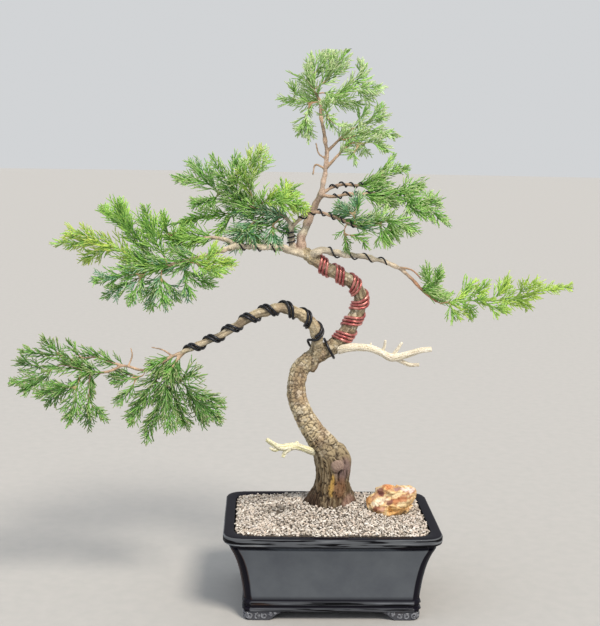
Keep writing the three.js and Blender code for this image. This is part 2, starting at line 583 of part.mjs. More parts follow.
// Foliage: every shoot has a slim core whose sides draw out to pointed branchlets.
// Each row holds its parent, the place along it, the branchlets' length and the points it passes.
// A parent that is a limb starts a new piece, and any other parent carries it as a side shoot.
const shoots = {
  apex_up_right: ['leader', 0.93, 12, [[-12, 10, 622], [0, 7, 638], [12, 5, 657]]],
  apex_up_right_side: ['apex_up_right', 0.4, 9, [[-9, 15, 642], [-6, 20, 655]]],
  apex_up: ['leader', 0.95, 11, [[-27, 19, 630], [-31, 20, 647]]],
  apex_up_side: ['apex_up', 0.4, 9, [[-21, 10, 634], [-18, 2, 646]]],
  apex_right: ['leader', 0.9, 10, [[-4, 8, 604], [15, 6, 613], [52, 0, 613]]],
  apex_right_rise: ['apex_right', 0.45, 9, [[26, 13, 624], [28, 17, 643]]],
  apex_right_rear: ['apex_right', 0.5, 8, [[32, 12, 606], [45, 22, 605]]],
  apex_left: ['leader', 0.86, 9, [[-42, 14, 598], [-66, 18, 599]]],
  apex_left_front: ['apex_left', 0.5, 7, [[-50, 6, 606], [-54, 0, 612]]],
  apex_left_drop: ['apex_left', 0.2, 8, [[-36, 18, 580], [-44, 18, 560]]],
  apex_left_drop_front: ['apex_left_drop', 0.35, 7, [[-34, 8, 568], [-33, 0, 553]]],
  apex_rear: ['leader', 0.87, 10, [[-12, 28, 594], [2, 42, 604]]],
  apex_rear_right: ['apex_rear', 0.4, 9, [[8, 26, 598], [31, 30, 594]]],
  apex_rear_left: ['apex_rear', 0.3, 9, [[-28, 34, 600], [-38, 44, 608]]],
  apex_low_right: ['leader', 0.82, 8, [[-6, 4, 572], [9, 0, 569]]],
  apex_front: ['apex_low_right', 0.3, 9, [[-14, -10, 584], [-14, -24, 596]]],
  crown_top: ['crownHigh', 1, 10, [[32, 18, 571], [58, 16, 581]]],
  crown_top_rear: ['crown_top', 0.3, 9, [[28, 28, 578], [37, 36, 588]]],
  crown_top_front: ['crown_top', 0.5, 8, [[44, 8, 582], [50, 0, 590]]],
  crown_mid: ['crownHigh', 0.75, 9, [[22, 10, 558], [43, 8, 563], [71, 4, 558]]],
  crown_mid_rear: ['crown_mid', 0.45, 8, [[45, 18, 556], [56, 26, 549]]],
  crown_low: ['crownLow', 1, 9, [[28, 8, 549], [42, 2, 550], [60, -4, 541]]],
  crown_low_rear: ['crown_low', 0.3, 7, [[30, 18, 545], [37, 24, 538]]],
  crown_low_drop: ['crown_low', 0.2, 7, [[20, 2, 538], [21, -2, 529]]],
  west_up: ['riser', 0.8, 13, [[-101, 21, 492], [-102, 20, 515], [-89, 14, 539]]],
  west_up_rear: ['west_up', 0.45, 11, [[-92, 32, 514], [-82, 42, 528]]],
  west_up_front: ['west_up', 0.4, 11, [[-110, 8, 506], [-112, -2, 522]]],
  west_high: ['riser', 0.93, 12, [[-120, 20, 494], [-133, 16, 508], [-144, 10, 529]]],
  west_high_rear: ['west_high', 0.3, 12, [[-119, 34, 508], [-117, 44, 527]]],
  west_tip: ['riser', 1, 12, [[-135, 26, 488], [-153, 26, 499], [-188, 24, 505]]],
  west_tip_rear: ['west_tip', 0.35, 11, [[-155, 38, 509], [-171, 48, 523]]],
  west_tip_front: ['west_tip', 0.2, 10, [[-149, 12, 479], [-166, 4, 474]]],
  west_low: ['riser', 0.88, 7, [[-124, 32, 464], [-160, 33, 459], [-191, 34, 449]]],
  west_low_drop: ['west_low', 0.2, 9, [[-130, 26, 450], [-139, 20, 440]]],
  west_right: ['riser', 0.72, 11, [[-80, 10, 482], [-60, 8, 479], [-34, 4, 471]]],
  west_right_rear: ['west_right', 0.55, 10, [[-60, 22, 490], [-48, 34, 489]]],
  west_fan: ['riser', 0.66, 12, [[-93, 20, 456], [-107, 12, 445], [-119, 6, 431]]],
  west_fan_rear: ['west_fan', 0.25, 11, [[-96, 28, 444], [-90, 34, 427]]],
  west_fan_front: ['west_fan', 0.4, 9, [[-104, 4, 446], [-98, -6, 438]]],
  west_fan_right: ['riser', 0.48, 11, [[-74, 16, 452], [-74, 12, 444], [-67, 8, 431]]],
  west_fan_right_rear: ['west_fan_right', 0.25, 10, [[-62, 28, 448], [-51, 38, 437]]],
  left_far: ['leftLow', 1, 10, [[-236, -29, 414], [-250, -26, 424], [-274, -22, 429], [-324, -16, 429]]],
  left_far_rear: ['left_far', 0.45, 9, [[-288, -32, 440], [-307, -40, 442]]],
  left_far_front: ['left_far', 0.38, 9, [[-272, -12, 420], [-293, -4, 410]]],
  left_high: ['leftLow', 0.9, 13, [[-222, -24, 424], [-244, -20, 446], [-271, -14, 470]]],
  left_high_front: ['left_high', 0.4, 12, [[-246, -34, 462], [-249, -44, 479]]],
  left_high_rear: ['left_high', 0.5, 12, [[-244, -6, 456], [-252, 6, 470]]],
  left_rise: ['leftLow', 0.74, 12, [[-206, -30, 428], [-213, -36, 449], [-219, -44, 471]]],
  left_crest: ['leftUp', 1, 11, [[-193, 6, 436], [-199, 0, 446], [-199, -4, 460]]],
  left_crest_rear: ['left_crest', 0.3, 9, [[-184, 16, 442], [-180, 22, 449]]],
  left_crest_west: ['left_crest', 0.3, 11, [[-212, 14, 440], [-224, 24, 446]]],
  left_inner: ['leftLow', 0.52, 11, [[-168, -32, 410], [-151, -32, 409], [-119, -28, 410]]],
  left_inner_high: ['left_inner', 0.4, 9, [[-145, -38, 420], [-140, -42, 430]]],
  left_inner_low: ['left_inner', 0.3, 9, [[-145, -42, 402], [-131, -50, 401]]],
  left_drop_in: ['leftLow', 0.6, 10, [[-174, -22, 398], [-163, -20, 391], [-143, -16, 381]]],
  left_drop_in_low: ['left_drop_in', 0.3, 10, [[-173, -32, 386], [-167, -40, 372]]],
  left_drop: ['leftLow', 0.8, 13, [[-203, -29, 388], [-200, -32, 372], [-196, -34, 359]]],
  left_drop_rear: ['left_drop', 0.3, 11, [[-192, -16, 378], [-185, -4, 363]]],
  left_drop_west: ['left_drop', 0.3, 11, [[-214, -20, 374], [-214, -14, 354]]],
  left_drop_far: ['leftLow', 0.93, 12, [[-224, -34, 392], [-236, -44, 365]]],
  left_drop_far_low: ['left_drop_far', 0.3, 11, [[-240, -30, 384], [-268, -20, 367]]],
  left_drop_far_out: ['left_drop_far', 0.2, 11, [[-248, -42, 394], [-277, -48, 390]]],
  east_high: ['eastUpA', 1, 10, [[52, 30, 507], [64, 30, 514], [87, 26, 522]]],
  east_high_rear: ['east_high', 0.3, 7, [[62, 38, 521], [73, 47, 536]]],
  east_far: ['eastUpB', 1, 10, [[80, 16, 491], [104, 10, 478], [129, 4, 458]]],
  east_far_rear: ['east_far', 0.25, 9, [[91, 27, 498], [104, 37, 497]]],
  east_far_front: ['east_far', 0.28, 9, [[86, 4, 480], [104, -6, 466]]],
  east_far_mid: ['east_far', 0.6, 7, [[114, 16, 482], [126, 24, 478]]],
  east_front: ['eastLow', 1, 10, [[50, -6, 458], [66, -10, 460], [92, -14, 450]]],
  east_front_rear: ['east_front', 0.35, 9, [[64, 4, 450], [76, 14, 443]]],
  east_front_drop: ['east_front', 0.2, 8, [[54, -6, 443], [61, -2, 434]]],
  east_bluish: ['eastLow', 0.84, 9, [[22, -10, 464], [14, -13, 470], [3, -15, 477]]],
  east_bluish_up: ['east_bluish', 0.3, 8, [[24, -10, 476], [26, -6, 486]]],
  east_drop: ['eastLow', 0.72, 7, [[10, 2, 446], [14, 3, 434], [15, 2, 424]]],
  east_drop_front: ['east_drop', 0.3, 7, [[27, -8, 440], [36, -16, 430]]],
  tail: ['right', 1, 10, [[137, 14, 362], [161, 12, 364], [193, 8, 365], [216, 4, 368], [257, -2, 381],
    [284, -4, 383]]],
  tail_up_1: ['tail', 0.16, 9, [[160, 24, 375], [172, 30, 384]]],
  tail_up_2: ['tail', 0.24, 9, [[172, 0, 376], [180, -8, 386]]],
  tail_up_3: ['tail', 0.42, 9, [[203, 18, 377], [212, 24, 387]]],
  tail_up_4: ['tail', 0.58, 8, [[228, -6, 382], [241, -12, 389]]],
  tail_low_1: ['tail', 0.08, 9, [[143, 4, 354], [149, -4, 346]]],
  tail_low_2: ['tail', 0.2, 8, [[164, 22, 353], [173, 30, 342]]],
  tail_low_3: ['tail', 0.34, 9, [[190, -2, 358], [205, -10, 357]]],
  tail_low_4: ['tail', 0.52, 8, [[222, 14, 365], [238, 20, 357]]],
  tail_crest: ['right', 0.95, 9, [[120, 18, 378], [115, 22, 390], [113, 24, 400]]],
  tail_crest_front: ['tail_crest', 0.3, 8, [[124, 10, 388], [126, 2, 401]]],
  far_tip: ['lowFar', 1, 9, [[-332, -34, 283], [-355, -32, 272], [-379, -28, 265]]],
  far_tip_low: ['far_tip', 0.25, 9, [[-340, -42, 272], [-359, -50, 262]]],
  far_tip_rear: ['far_tip', 0.35, 9, [[-348, -24, 286], [-369, -14, 289]]],
  far_left: ['lowFar', 0.9, 10, [[-312, -34, 299], [-336, -32, 301], [-363, -28, 304]]],
  far_left_up: ['far_left', 0.25, 9, [[-322, -40, 308], [-335, -48, 321]]],
  far_up: ['lowWest', 1, 8, [[-301, -18, 301], [-311, -16, 315]]],
  far_drop: ['lowHang', 1, 8, [[-285, -35, 250], [-279, -36, 240], [-267, -38, 228]]],
  far_drop_rear: ['far_drop', 0.3, 9, [[-288, -30, 238], [-287, -22, 214]]],
  far_drop_west: ['lowFar', 0.72, 11, [[-296, -41, 270], [-299, -44, 252], [-306, -48, 225]]],
  far_drop_west_rear: ['far_drop_west', 0.25, 10, [[-312, -34, 262], [-335, -24, 241]]],
  far_drop_west_out: ['far_drop_west', 0.3, 9, [[-316, -52, 266], [-340, -58, 260]]],
  near_right: ['lowForkB', 1, 14, [[-188, -31, 276], [-178, -30, 268], [-156, -28, 255], [-132, -24, 244]]],
  near_right_up: ['near_right', 0.25, 12, [[-174, -42, 278], [-162, -50, 283]]],
  near_right_low: ['near_right', 0.45, 12, [[-150, -38, 243], [-132, -44, 228]]],
  near_right_rear: ['near_right', 0.35, 12, [[-163, -18, 242], [-151, -10, 218]]],
  near_drop: ['lowForkB', 0.75, 13, [[-194, -36, 278], [-200, -34, 248], [-213, -26, 219], [-219, -24, 198]]],
  near_drop_front: ['near_drop', 0.35, 12, [[-192, -42, 240], [-189, -50, 218]]],
  near_drop_rear: ['near_drop', 0.3, 12, [[-186, -22, 246], [-174, -12, 214]]],
  near_left: ['lowWest', 0.2, 11, [[-226, -33, 276], [-238, -32, 274], [-258, -28, 268]]],
  near_left_low: ['near_left', 0.3, 10, [[-236, -40, 262], [-251, -48, 249]]],
  near_left_rear: ['near_left', 0.35, 10, [[-244, -20, 276], [-263, -10, 272]]],
  near_under: ['lowForkA', 0.8, 11, [[-206, -22, 276], [-220, -20, 256], [-238, -12, 230]]],
  near_under_front: ['near_under', 0.35, 10, [[-226, -32, 244], [-236, -40, 222]]],
  near_under_rear: ['near_under', 0.3, 11, [[-206, -10, 252], [-202, 2, 236]]],
};

// Distance between two straight stretches.
function separation(a, b, c, d) {
  const u = b.clone().sub(a);
  const v = d.clone().sub(c);
  const w = a.clone().sub(c);
  const uu = u.dot(u);
  const uv = u.dot(v);
  const vv = v.dot(v);
  const uw = u.dot(w);
  const vw = v.dot(w);
  const det = uu * vv - uv * uv;
  let s = det > 1e-9 ? THREE.MathUtils.clamp((uv * vw - vv * uw) / det, 0, 1) : 0;
  let t = (uv * s + vw) / vv;
  if (t < 0) {
    t = 0;
    s = THREE.MathUtils.clamp(-uw / uu, 0, 1);
  } else if (t > 1) {
    t = 1;
    s = THREE.MathUtils.clamp((uv - uw) / uu, 0, 1);
  }
  return a.clone().addScaledVector(u, s).distanceTo(c.clone().addScaledVector(v, t));
}

// Everything a branchlet has to stay clear of, as stretches with a radius.
const taken = [];

function take(a, b, radius, owner, step = 0) {
  taken.push({ a, b, radius, owner, step, middle: a.clone().lerp(b, 0.5), reach: a.distanceTo(b) / 2 });
}

function blocked(a, b, radius, skip) {
  const middle = a.clone().lerp(b, 0.5);
  const reach = a.distanceTo(b) / 2;
  return taken.some((other) => {
    if (middle.distanceTo(other.middle) > reach + other.reach + radius + other.radius + clear) return false;
    if (skip(other)) return false;
    return separation(a, b, other.a, other.b) < radius + other.radius + clear;
  });
}

Object.entries(limb).forEach(([name, piece]) => {
  const steps = Math.ceil(piece.length / 8);
  for (let i = 0; i < steps; i += 1) {
    const start = piece.at(i / steps);
    const end = piece.at((i + 1) / steps);
    take(start.centre, end.centre, Math.max(start.radius, end.radius), name);
  }
});
bareTwigs.forEach((points) => {
  for (let i = 1; i < points.length; i += 1) {
    take(vec(points[i - 1]), vec(points[i]), points[i - 1][3], 'twig');
  }
});
wireRuns.forEach(({ points, radius }) => {
  for (let i = 1; i < points.length; i += 1) take(points[i - 1], points[i], radius, 'wire');
});

// The path of a shoot, from where it leaves its parent.
function leave(start, outward, points) {
  const first = start.clone().addScaledVector(outward, shootLift);
  const path = new THREE.CatmullRomCurve3([start, first, ...points], false, 'centripetal');
  path.arcLengthDivisions = 300;
  return path;
}

const bends = [0, 5, -5, 10, -10, 15, -15, 20, -20, 26, -26];

// Bends a shoot to the front or back until its core runs clear of everything else.
function settle(name, parent, start, outward, points) {
  for (const bend of bends) {
    const moved = points.map(([x, y, z], i) => vec([x, y + (bend * (i + 1)) / points.length, z]));
    const path = leave(start, outward, moved);
    const steps = Math.max(3, Math.round(path.getLength() / needleStep));
    const places = [];
    for (let i = 0; i <= steps; i += 1) places.push(path.getPointAt(i / steps));
    let open = true;
    for (let i = 0; i < steps && open; i += 1) {
      const nearParent = (other) => i < 2 && other.owner === parent;
      const core = i === 0 ? places[0].clone().lerp(places[1], 0.45) : places[i];
      open = !blocked(core, places[i + 1], shootCore * 1.5, nearParent);
    }
    if (open) {
      for (let i = 0; i < steps; i += 1) take(places[i], places[i + 1], shootCore * 1.2, name, i);
      return { path, steps };
    }
  }
  return null;
}

// The four corners round a place on a shoot, turned as little as possible from the ring before.
function square(facets, centre, tangent, lead, half) {
  const e1 = lead.clone().addScaledVector(tangent, -lead.dot(tangent)).normalize();
  const e2 = new THREE.Vector3().crossVectors(tangent, e1);
  return [[1, 0], [0, 1], [-1, 0], [0, -1]].map(([p, q]) => facets.point(
    centre.clone().addScaledVector(e1, p * half * Math.SQRT2).addScaledVector(e2, q * half * Math.SQRT2),
  ));
}

// First pass: every core is laid out, so that branchlets can keep clear of cores still to come.
const laid = {};
Object.entries(shoots).forEach(([name, [parent, place, length, points]]) => {
  let start;
  let outward;
  let side = -1;
  let step = -1;
  let run = null;
  if (limb[parent]) {
    for (const shift of place === 1 ? [0] : [0, 0.02, -0.02, 0.04, -0.04]) {
      const { centre, radius, tangent } = limb[parent].at(place + shift);
      outward = place === 1 ? tangent.clone() : vec(points[0]).sub(centre);
      if (place !== 1) outward.addScaledVector(tangent, -outward.dot(tangent)).normalize();
      start = centre.clone().addScaledVector(outward, (place === 1 ? 0 : radius) + gap + 0.1);
      run = settle(name, parent, start, outward, points);
      if (run) break;
    }
  } else if (laid[parent]) {
    const from = laid[parent];
    step = Math.min(from.steps - 2, Math.max(1, Math.round(place * from.steps)));
    const centre = from.path.getPointAt((step + 0.5) / from.steps);
    const tangent = from.path.getTangentAt((step + 0.5) / from.steps);
    outward = vec(points[0]).sub(centre);
    outward.addScaledVector(tangent, -outward.dot(tangent)).normalize();
    const facing = from.sides(step).map((normal) => normal.dot(outward));
    side = facing.indexOf(Math.max(...facing));
    while (from.taken.has(step * 4 + side)) step += 1;
    from.taken.add(step * 4 + side);
    start = from.path.getPointAt((step + 0.5) / from.steps);
    outward = from.sides(step)[side];
    start.addScaledVector(outward, shootCore);
    run = settle(name, parent, start, outward, points);
  }
  if (!run) return; // no clear way for this shoot
  // Directions of the ring corners at each step, carried along without twist.
  const leads = [];
  const tangents = [];
  let lead = new THREE.Vector3().crossVectors(outward, new THREE.Vector3(0.31, 0.83, 0.46)).normalize();
  if (side >= 0) lead = laid[parent].edge(step, side);
  for (let i = 0; i <= run.steps; i += 1) {
    const tangent = i === 0 ? outward.clone() : run.path.getTangentAt(i / run.steps);
    lead = lead.clone().addScaledVector(tangent, -lead.dot(tangent)).normalize();
    leads.push(lead);
    tangents.push(tangent);
  }
  const sides = (at) => [45, 135, 225, 315].map((degrees) => {
    const turn = THREE.MathUtils.degToRad(degrees);
    const across = new THREE.Vector3().crossVectors(tangents[at], leads[at]);
    return leads[at].clone().multiplyScalar(Math.cos(turn)).addScaledVector(across, Math.sin(turn));
  });
  // From the middle of a side to that side's first corner, the lead of the shoot that grows from it.
  const edge = (at, k) => {
    const across = new THREE.Vector3().crossVectors(tangents[at], leads[at]);
    const turn = (Math.PI / 2) * k;
    const corner = leads[at].clone().multiplyScalar(Math.cos(turn)).addScaledVector(across, Math.sin(turn));
    const next = across.clone().multiplyScalar(Math.cos(turn)).addScaledVector(leads[at], -Math.sin(turn));
    return corner.sub(next).normalize().addScaledVector(tangents[at], -1.4).normalize();
  };
  laid[name] = { ...run, parent, side, step, length, start, leads, tangents, sides, edge, taken: new Set() };
});

// Branchlets are longest a third of the way along their shoot and short at its tip.
const fullness = (share) => 0.62 + 0.5 * Math.sin(Math.PI * Math.min(1, 0.15 + share)) - 0.12 * share;

// Draws one shoot from its first ring, with the side shoots that leave it.
function drawShoot(facets, name, firstRing) {
  const shoot = laid[name];
  const random = seeded(name.length * 7919 + Math.round(shoot.start.x * 13 + shoot.start.z * 29) + 5000);
  const children = Object.entries(laid).filter(([, other]) => other.parent === name);
  let ring = firstRing;
  for (let i = 1; i <= shoot.steps; i += 1) {
    const share = i / shoot.steps;
    const centre = shoot.path.getPointAt(share);
    const half = shootCore * (1 - 0.45 * share);
    const last = i === shoot.steps;
    if (last) {
      const tip = facets.point(centre);
      for (let k = 0; k < 4; k += 1) facets.triangle(ring[k], ring[(k + 1) % 4], tip);
      break;
    }
    const next = square(facets, centre, shoot.tangents[i], shoot.leads[i], half);
    for (let k = 0; k < 4; k += 1) {
      const corners = [ring[k], ring[(k + 1) % 4], next[(k + 1) % 4], next[k]];
      const child = children.find(([, other]) => other.step === i - 1 && other.side === k);
      if (child) drawShoot(facets, child[0], corners);
      else drawSide(facets, name, shoot, i - 1, k, corners, random);
    }
    ring = next;
  }
}

// One side of a shoot: a branchlet on every second side where there is room, else plain.
function drawSide(facets, name, shoot, step, k, corners, random) {
  const share = (step + 0.5) / shoot.steps;
  const [ringA, ringB, ringC, ringD] = corners;
  const place = shoot.path.getPointAt(share);
  const tangent = shoot.path.getTangentAt(share);
  const outward = shoot.sides(step)[k];
  const across = new THREE.Vector3().crossVectors(tangent, outward);
  const slant = needleSlant * (1 - 0.25 * share) + (random() - 0.5) * 0.16;
  const sway = (random() - 0.5) * 0.3;
  const wanted = shoot.length * fullness(share) * (0.82 + 0.36 * random());
  const direction = tangent.clone().multiplyScalar(Math.cos(slant)).addScaledVector(outward, Math.sin(slant));
  direction.addScaledVector(across, sway).normalize();
  const foot = place.clone().addScaledVector(outward, shootCore * (1 - 0.45 * share));
  const bare = (step + k) % 2 === 1 || step === 0;
  const near = (other) => other.owner === name && Math.abs(other.step - step) <= 3;
  for (const part of bare ? [] : [1, 0.72, 0.5]) {
    const tip = foot.clone().addScaledVector(direction, wanted * part);
    if (!blocked(foot, tip, needleRadius, near)) {
      take(foot, tip, needleRadius, name, step);
      const point = facets.point(tip);
      facets.triangle(ringA, ringB, point);
      facets.triangle(ringB, ringC, point);
      facets.triangle(ringC, ringD, point);
      facets.triangle(ringD, ringA, point);
      return;
    }
  }
  facets.quad(ringA, ringB, ringC, ringD);
}

Object.entries(laid).forEach(([name, shoot]) => {
  if (!limb[shoot.parent]) return;
  const facets = new Facets();
  const ring = square(facets, shoot.start, shoot.tangents[0], shoot.leads[0], shootCore);
  facets.cap(ring, false);
  drawShoot(facets, name, ring);
  add(name, facets.geometry(), colours.foliage, 0.7);
});

// Soil, with the root crown standing in it
function filling(top, bottom, inset) {
  const facets = new Facets();
  const lower = (z) => {
    const share = (z - floorTop) / (potHeight - 20 - floorTop);
    const topX = lipX / 2 - lipWidth - 1;
    const topY = lipY / 2 - lipWidth - 1;
    const near = Math.min(1, share);
    return {
      x: (baseHalfX - wallThick) * (1 - near) + topX * near,
      y: (baseHalfY - wallThick) * (1 - near) + topY * near,
    };
  };
  const turn = potHeight - 20;
  const levels = bottom < turn && turn < top ? [bottom, turn, top] : [bottom, top];
  const rings = levels.map((z) => {
    const { x, y } = lower(z);
    return potOutline(facets, x - inset, y - inset, z, 0.8, frontBow);
  });
  facets.cap(rings[0], false);
  for (let k = 1; k < rings.length; k += 1) facets.band(rings[k - 1], rings[k]);
  facets.cap(rings[rings.length - 1], true);
  return solid(facets.geometry());
}

const crownHole = grown({ points: limbs.trunk.slice(0, 5) }, 2.2);
const rootHoles = swellings.slice(0, 3).map((points) => grown({ points }, 0.6));
const wallClear = 0.45; // between the filling and the pot's walls
const soilBottom = floorTop + gap + screenThick + gap;
const gravelBottom = soilTop + gap;
let soil = filling(soilTop, soilBottom, wallClear).subtract(crownHole);
rootHoles.forEach((hole) => {
  soil = soil.subtract(hole);
});
add('soil', shell(soil), colours.soil, 0.95);

// The rock, from a ball pushed out to hand-chosen half sizes and knocked flat in places
const rockCentre = new THREE.Vector3(75, 8, 116);

function rockSolid(grow) {
  const round = new THREE.IcosahedronGeometry(1, 2).deleteAttribute('normal').deleteAttribute('uv');
  const ball = mergeVertices(round);
  const place = ball.attributes.position;
  const random = seeded(41);
  const faces = [
    [0.2, -0.9, 0.4, 0.84], [-0.7, -0.5, 0.5, 0.8], [0.8, -0.3, 0.5, 0.82], [-0.1, 0.2, 1, 0.86],
    [0.9, 0.4, 0.1, 0.85], [-0.9, 0.3, 0.2, 0.88], [0.3, -0.8, -0.4, 0.86],
  ];
  for (let i = 0; i < place.count; i += 1) {
    const p = new THREE.Vector3().fromBufferAttribute(place, i);
    faces.forEach(([x, y, z, depth]) => {
      const normal = new THREE.Vector3(x, y, z).normalize();
      const over = p.dot(normal) - depth;
      if (over > 0) p.addScaledVector(normal, -over);
    });
    p.multiplyScalar(1 + 0.05 * (random() - 0.5));
    p.set(p.x * (31 + grow), p.y * (21 + grow), p.z * (23 + grow));
    p.x += 0.12 * p.z;
    place.setXYZ(i, p.x + rockCentre.x, p.y + rockCentre.y, p.z + rockCentre.z);
  }
  return solid(ball);
}

add('rock', shell(rockSolid(0)), colours.rock, 0.9);

// Gravel: a bed of broken grains seen as a faceted top, mounded to the trunk, with a small pit.
function gravelHeight(x, y, random) {
  const fromTrunk = Math.hypot(x - 2, y - 28);
  const mound = moundHeight * Math.exp(-(fromTrunk ** 2) / (2 * 42 ** 2));
  const fromPit = Math.hypot(x + 62, y - 5);
  const pit = 3.5 * Math.exp(-(fromPit ** 2) / (2 * 8 ** 2));
  return gravelTop + mound - pit + (random() - 0.5) * 3.2;
}

function gravelBed() {
  const columns = 12;
  const rows = 8;
  const halfX = lipX / 2 - lipWidth - wallClear;
  const halfY = lipY / 2 - lipWidth - wallClear;
  const random = seeded(7);
  const facets = new Facets();
  const top = [];
  for (let j = 0; j <= rows; j += 1) {
    for (let i = 0; i <= columns; i += 1) {
      const edge = i === 0 || j === 0 || i === columns || j === rows;
      const shift = edge ? 0 : 3.2;
      const x = -halfX - 4 + ((2 * halfX + 8) * i) / columns + (random() - 0.5) * shift;
      const y = -halfY - 4 + ((2 * halfY + 8) * j) / rows + (random() - 0.5) * shift;
      top.push(facets.point(new THREE.Vector3(x, y, gravelHeight(x, y, random))));
    }
  }
  const at = (i, j) => top[j * (columns + 1) + i];
  for (let j = 0; j < rows; j += 1) {
    for (let i = 0; i < columns; i += 1) {
      if ((i + j) % 2) facets.quad(at(i, j), at(i + 1, j), at(i + 1, j + 1), at(i, j + 1));
      else facets.quad(at(i + 1, j), at(i + 1, j + 1), at(i, j + 1), at(i, j));
    }
  }
  const rim = [];
  for (let i = 0; i < columns; i += 1) rim.push(at(i, 0));
  for (let j = 0; j < rows; j += 1) rim.push(at(columns, j));
  for (let i = columns; i > 0; i -= 1) rim.push(at(i, rows));
  for (let j = rows; j > 0; j -= 1) rim.push(at(0, j));
  const low = rim.map((index) => facets.point(new THREE.Vector3(
    facets.points[index * 3], facets.points[index * 3 + 1], gravelBottom - 6,
  )));
  facets.band(low, rim);
  facets.cap(low, false);
  return solid(facets.geometry());
}

let gravel = gravelBed().intersect(filling(potHeight + 40, gravelBottom, wallClear)).subtract(crownHole);
rootHoles.forEach((hole) => {
  gravel = gravel.subtract(hole);
});
gravel = gravel.subtract(rockSolid(gap + 0.1));
add('gravel', shell(gravel), colours.gravel, 0.95);

// The origin is the middle of the whole object's footprint, on the table.
const bounds = new THREE.Box3().setFromObject(group);
const middle = bounds.getCenter(new THREE.Vector3());
group.position.set(-middle.x, -middle.y, -bounds.min.z);

export default group;
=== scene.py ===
import math
import bmesh
import bpy
import numpy as np
from mathutils import Matrix, Vector, noise
from mathutils.bvhtree import BVHTree


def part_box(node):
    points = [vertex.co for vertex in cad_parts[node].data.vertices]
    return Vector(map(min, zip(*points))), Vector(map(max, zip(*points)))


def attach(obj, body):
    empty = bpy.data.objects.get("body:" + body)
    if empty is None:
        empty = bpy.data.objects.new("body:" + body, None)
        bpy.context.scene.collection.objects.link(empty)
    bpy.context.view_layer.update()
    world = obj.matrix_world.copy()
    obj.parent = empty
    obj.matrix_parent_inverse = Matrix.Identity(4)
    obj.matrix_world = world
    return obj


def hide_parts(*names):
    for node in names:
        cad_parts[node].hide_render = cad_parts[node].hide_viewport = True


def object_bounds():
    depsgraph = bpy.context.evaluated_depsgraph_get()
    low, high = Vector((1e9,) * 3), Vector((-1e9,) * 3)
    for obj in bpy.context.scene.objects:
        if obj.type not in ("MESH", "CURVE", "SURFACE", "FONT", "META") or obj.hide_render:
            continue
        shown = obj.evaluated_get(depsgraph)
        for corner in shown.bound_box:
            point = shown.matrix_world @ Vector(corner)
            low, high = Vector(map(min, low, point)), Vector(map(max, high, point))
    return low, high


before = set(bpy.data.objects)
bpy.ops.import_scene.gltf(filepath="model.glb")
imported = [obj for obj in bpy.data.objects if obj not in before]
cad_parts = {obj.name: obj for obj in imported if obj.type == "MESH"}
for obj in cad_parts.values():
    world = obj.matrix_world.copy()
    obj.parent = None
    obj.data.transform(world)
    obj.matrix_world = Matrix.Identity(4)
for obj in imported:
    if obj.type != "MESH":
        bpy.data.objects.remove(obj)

noise.seed_set(2)  # its vector noise starts from the clock otherwise

print("stage: frame loaded")
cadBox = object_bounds()
potLow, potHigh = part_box("pot")
potMiddle = Vector(((potLow.x + potHigh.x) / 2, (potLow.y + potHigh.y) / 2, 0))
mm = 0.001
up = Vector((0, 0, 1))


def place(x, y, z):  # millimetres from the middle of the pot's footprint
    return potMiddle + Vector((x, y, z)) * mm


# Colours and materials
def linear(code):  # "#rrggbb" as linear red, green, blue and 1
    parts = [int(code[i:i + 2], 16) / 255 for i in (1, 3, 5)]
    return [p / 12.92 if p <= 0.04045 else ((p + 0.055) / 1.055) ** 2.4 for p in parts] + [1.0]


def toneTable(**codes):
    return {key: np.array(linear(code)[:3]) for key, code in codes.items()}


def mainOutput(source):  # a socket itself, or a node's first output; a mix has its colour third
    if isinstance(source, bpy.types.NodeSocket):
        return source
    return source.outputs[2 if source.bl_idname == "ShaderNodeMix" else 0]


def addNode(tree, kind, settings=None, inputs=None):
    node = tree.nodes.new("ShaderNode" + kind)
    for key, value in (settings or {}).items():
        if key == "stops":
            marks = node.color_ramp.elements
            marks.remove(marks[1])
            for k, (at, code) in enumerate(value):
                mark = marks.new(at) if k else marks[0]
                mark.position, mark.color = at, linear(code)
        else:
            setattr(node, key, value)
    for key, value in (inputs or {}).items():
        if isinstance(value, (bpy.types.Node, bpy.types.NodeSocket)):
            tree.links.new(mainOutput(value), node.inputs[key])
        else:
            node.inputs[key].default_value = value
    return node


mixed = {"data_type": "RGBA"}
multiplied = {"data_type": "RGBA", "blend_type": "MULTIPLY"}


def newMaterial(name, constants):  # with its node tree, its shader and object coordinates
    material = bpy.data.materials.new(name)
    material.use_nodes = True
    tree = material.node_tree
    shader = tree.nodes["Principled BSDF"]
    for key, value in constants.items():
        shader.inputs[key].default_value = value
    return material, tree, shader, addNode(tree, "TexCoord").outputs["Object"]


def dress(tree, shader, colour, height=None, bump=()):  # bump is a strength and a depth in metres
    tree.links.new(mainOutput(colour), shader.inputs["Base Color"])
    if bump:
        raised = addNode(tree, "Bump", inputs={"Strength": bump[0], "Distance": bump[1], "Height": height})
        tree.links.new(mainOutput(raised), shader.inputs["Normal"])


def grained(name, constants, kind, pattern, shades, bump=(), painted=None, share=1.0):
    # A texture's shades, alone or multiplied into the painted colours
    material, tree, shader, where = newMaterial(name, constants)
    texture = addNode(tree, kind, inputs={"Vector": where, **pattern})
    colour = addNode(tree, "ValToRGB", {"stops": shades}, {"Fac": texture})
    if painted:
        coat = addNode(tree, "Attribute", {"attribute_name": painted})
        colour = addNode(tree, "Mix", multiplied, {0: share, 6: coat, 7: colour})
    dress(tree, shader, colour, texture, bump)
    return material


# Objects and meshes
def linked(name, data):
    thing = bpy.data.objects.new(name, data)
    bpy.context.scene.collection.objects.link(thing)
    return thing


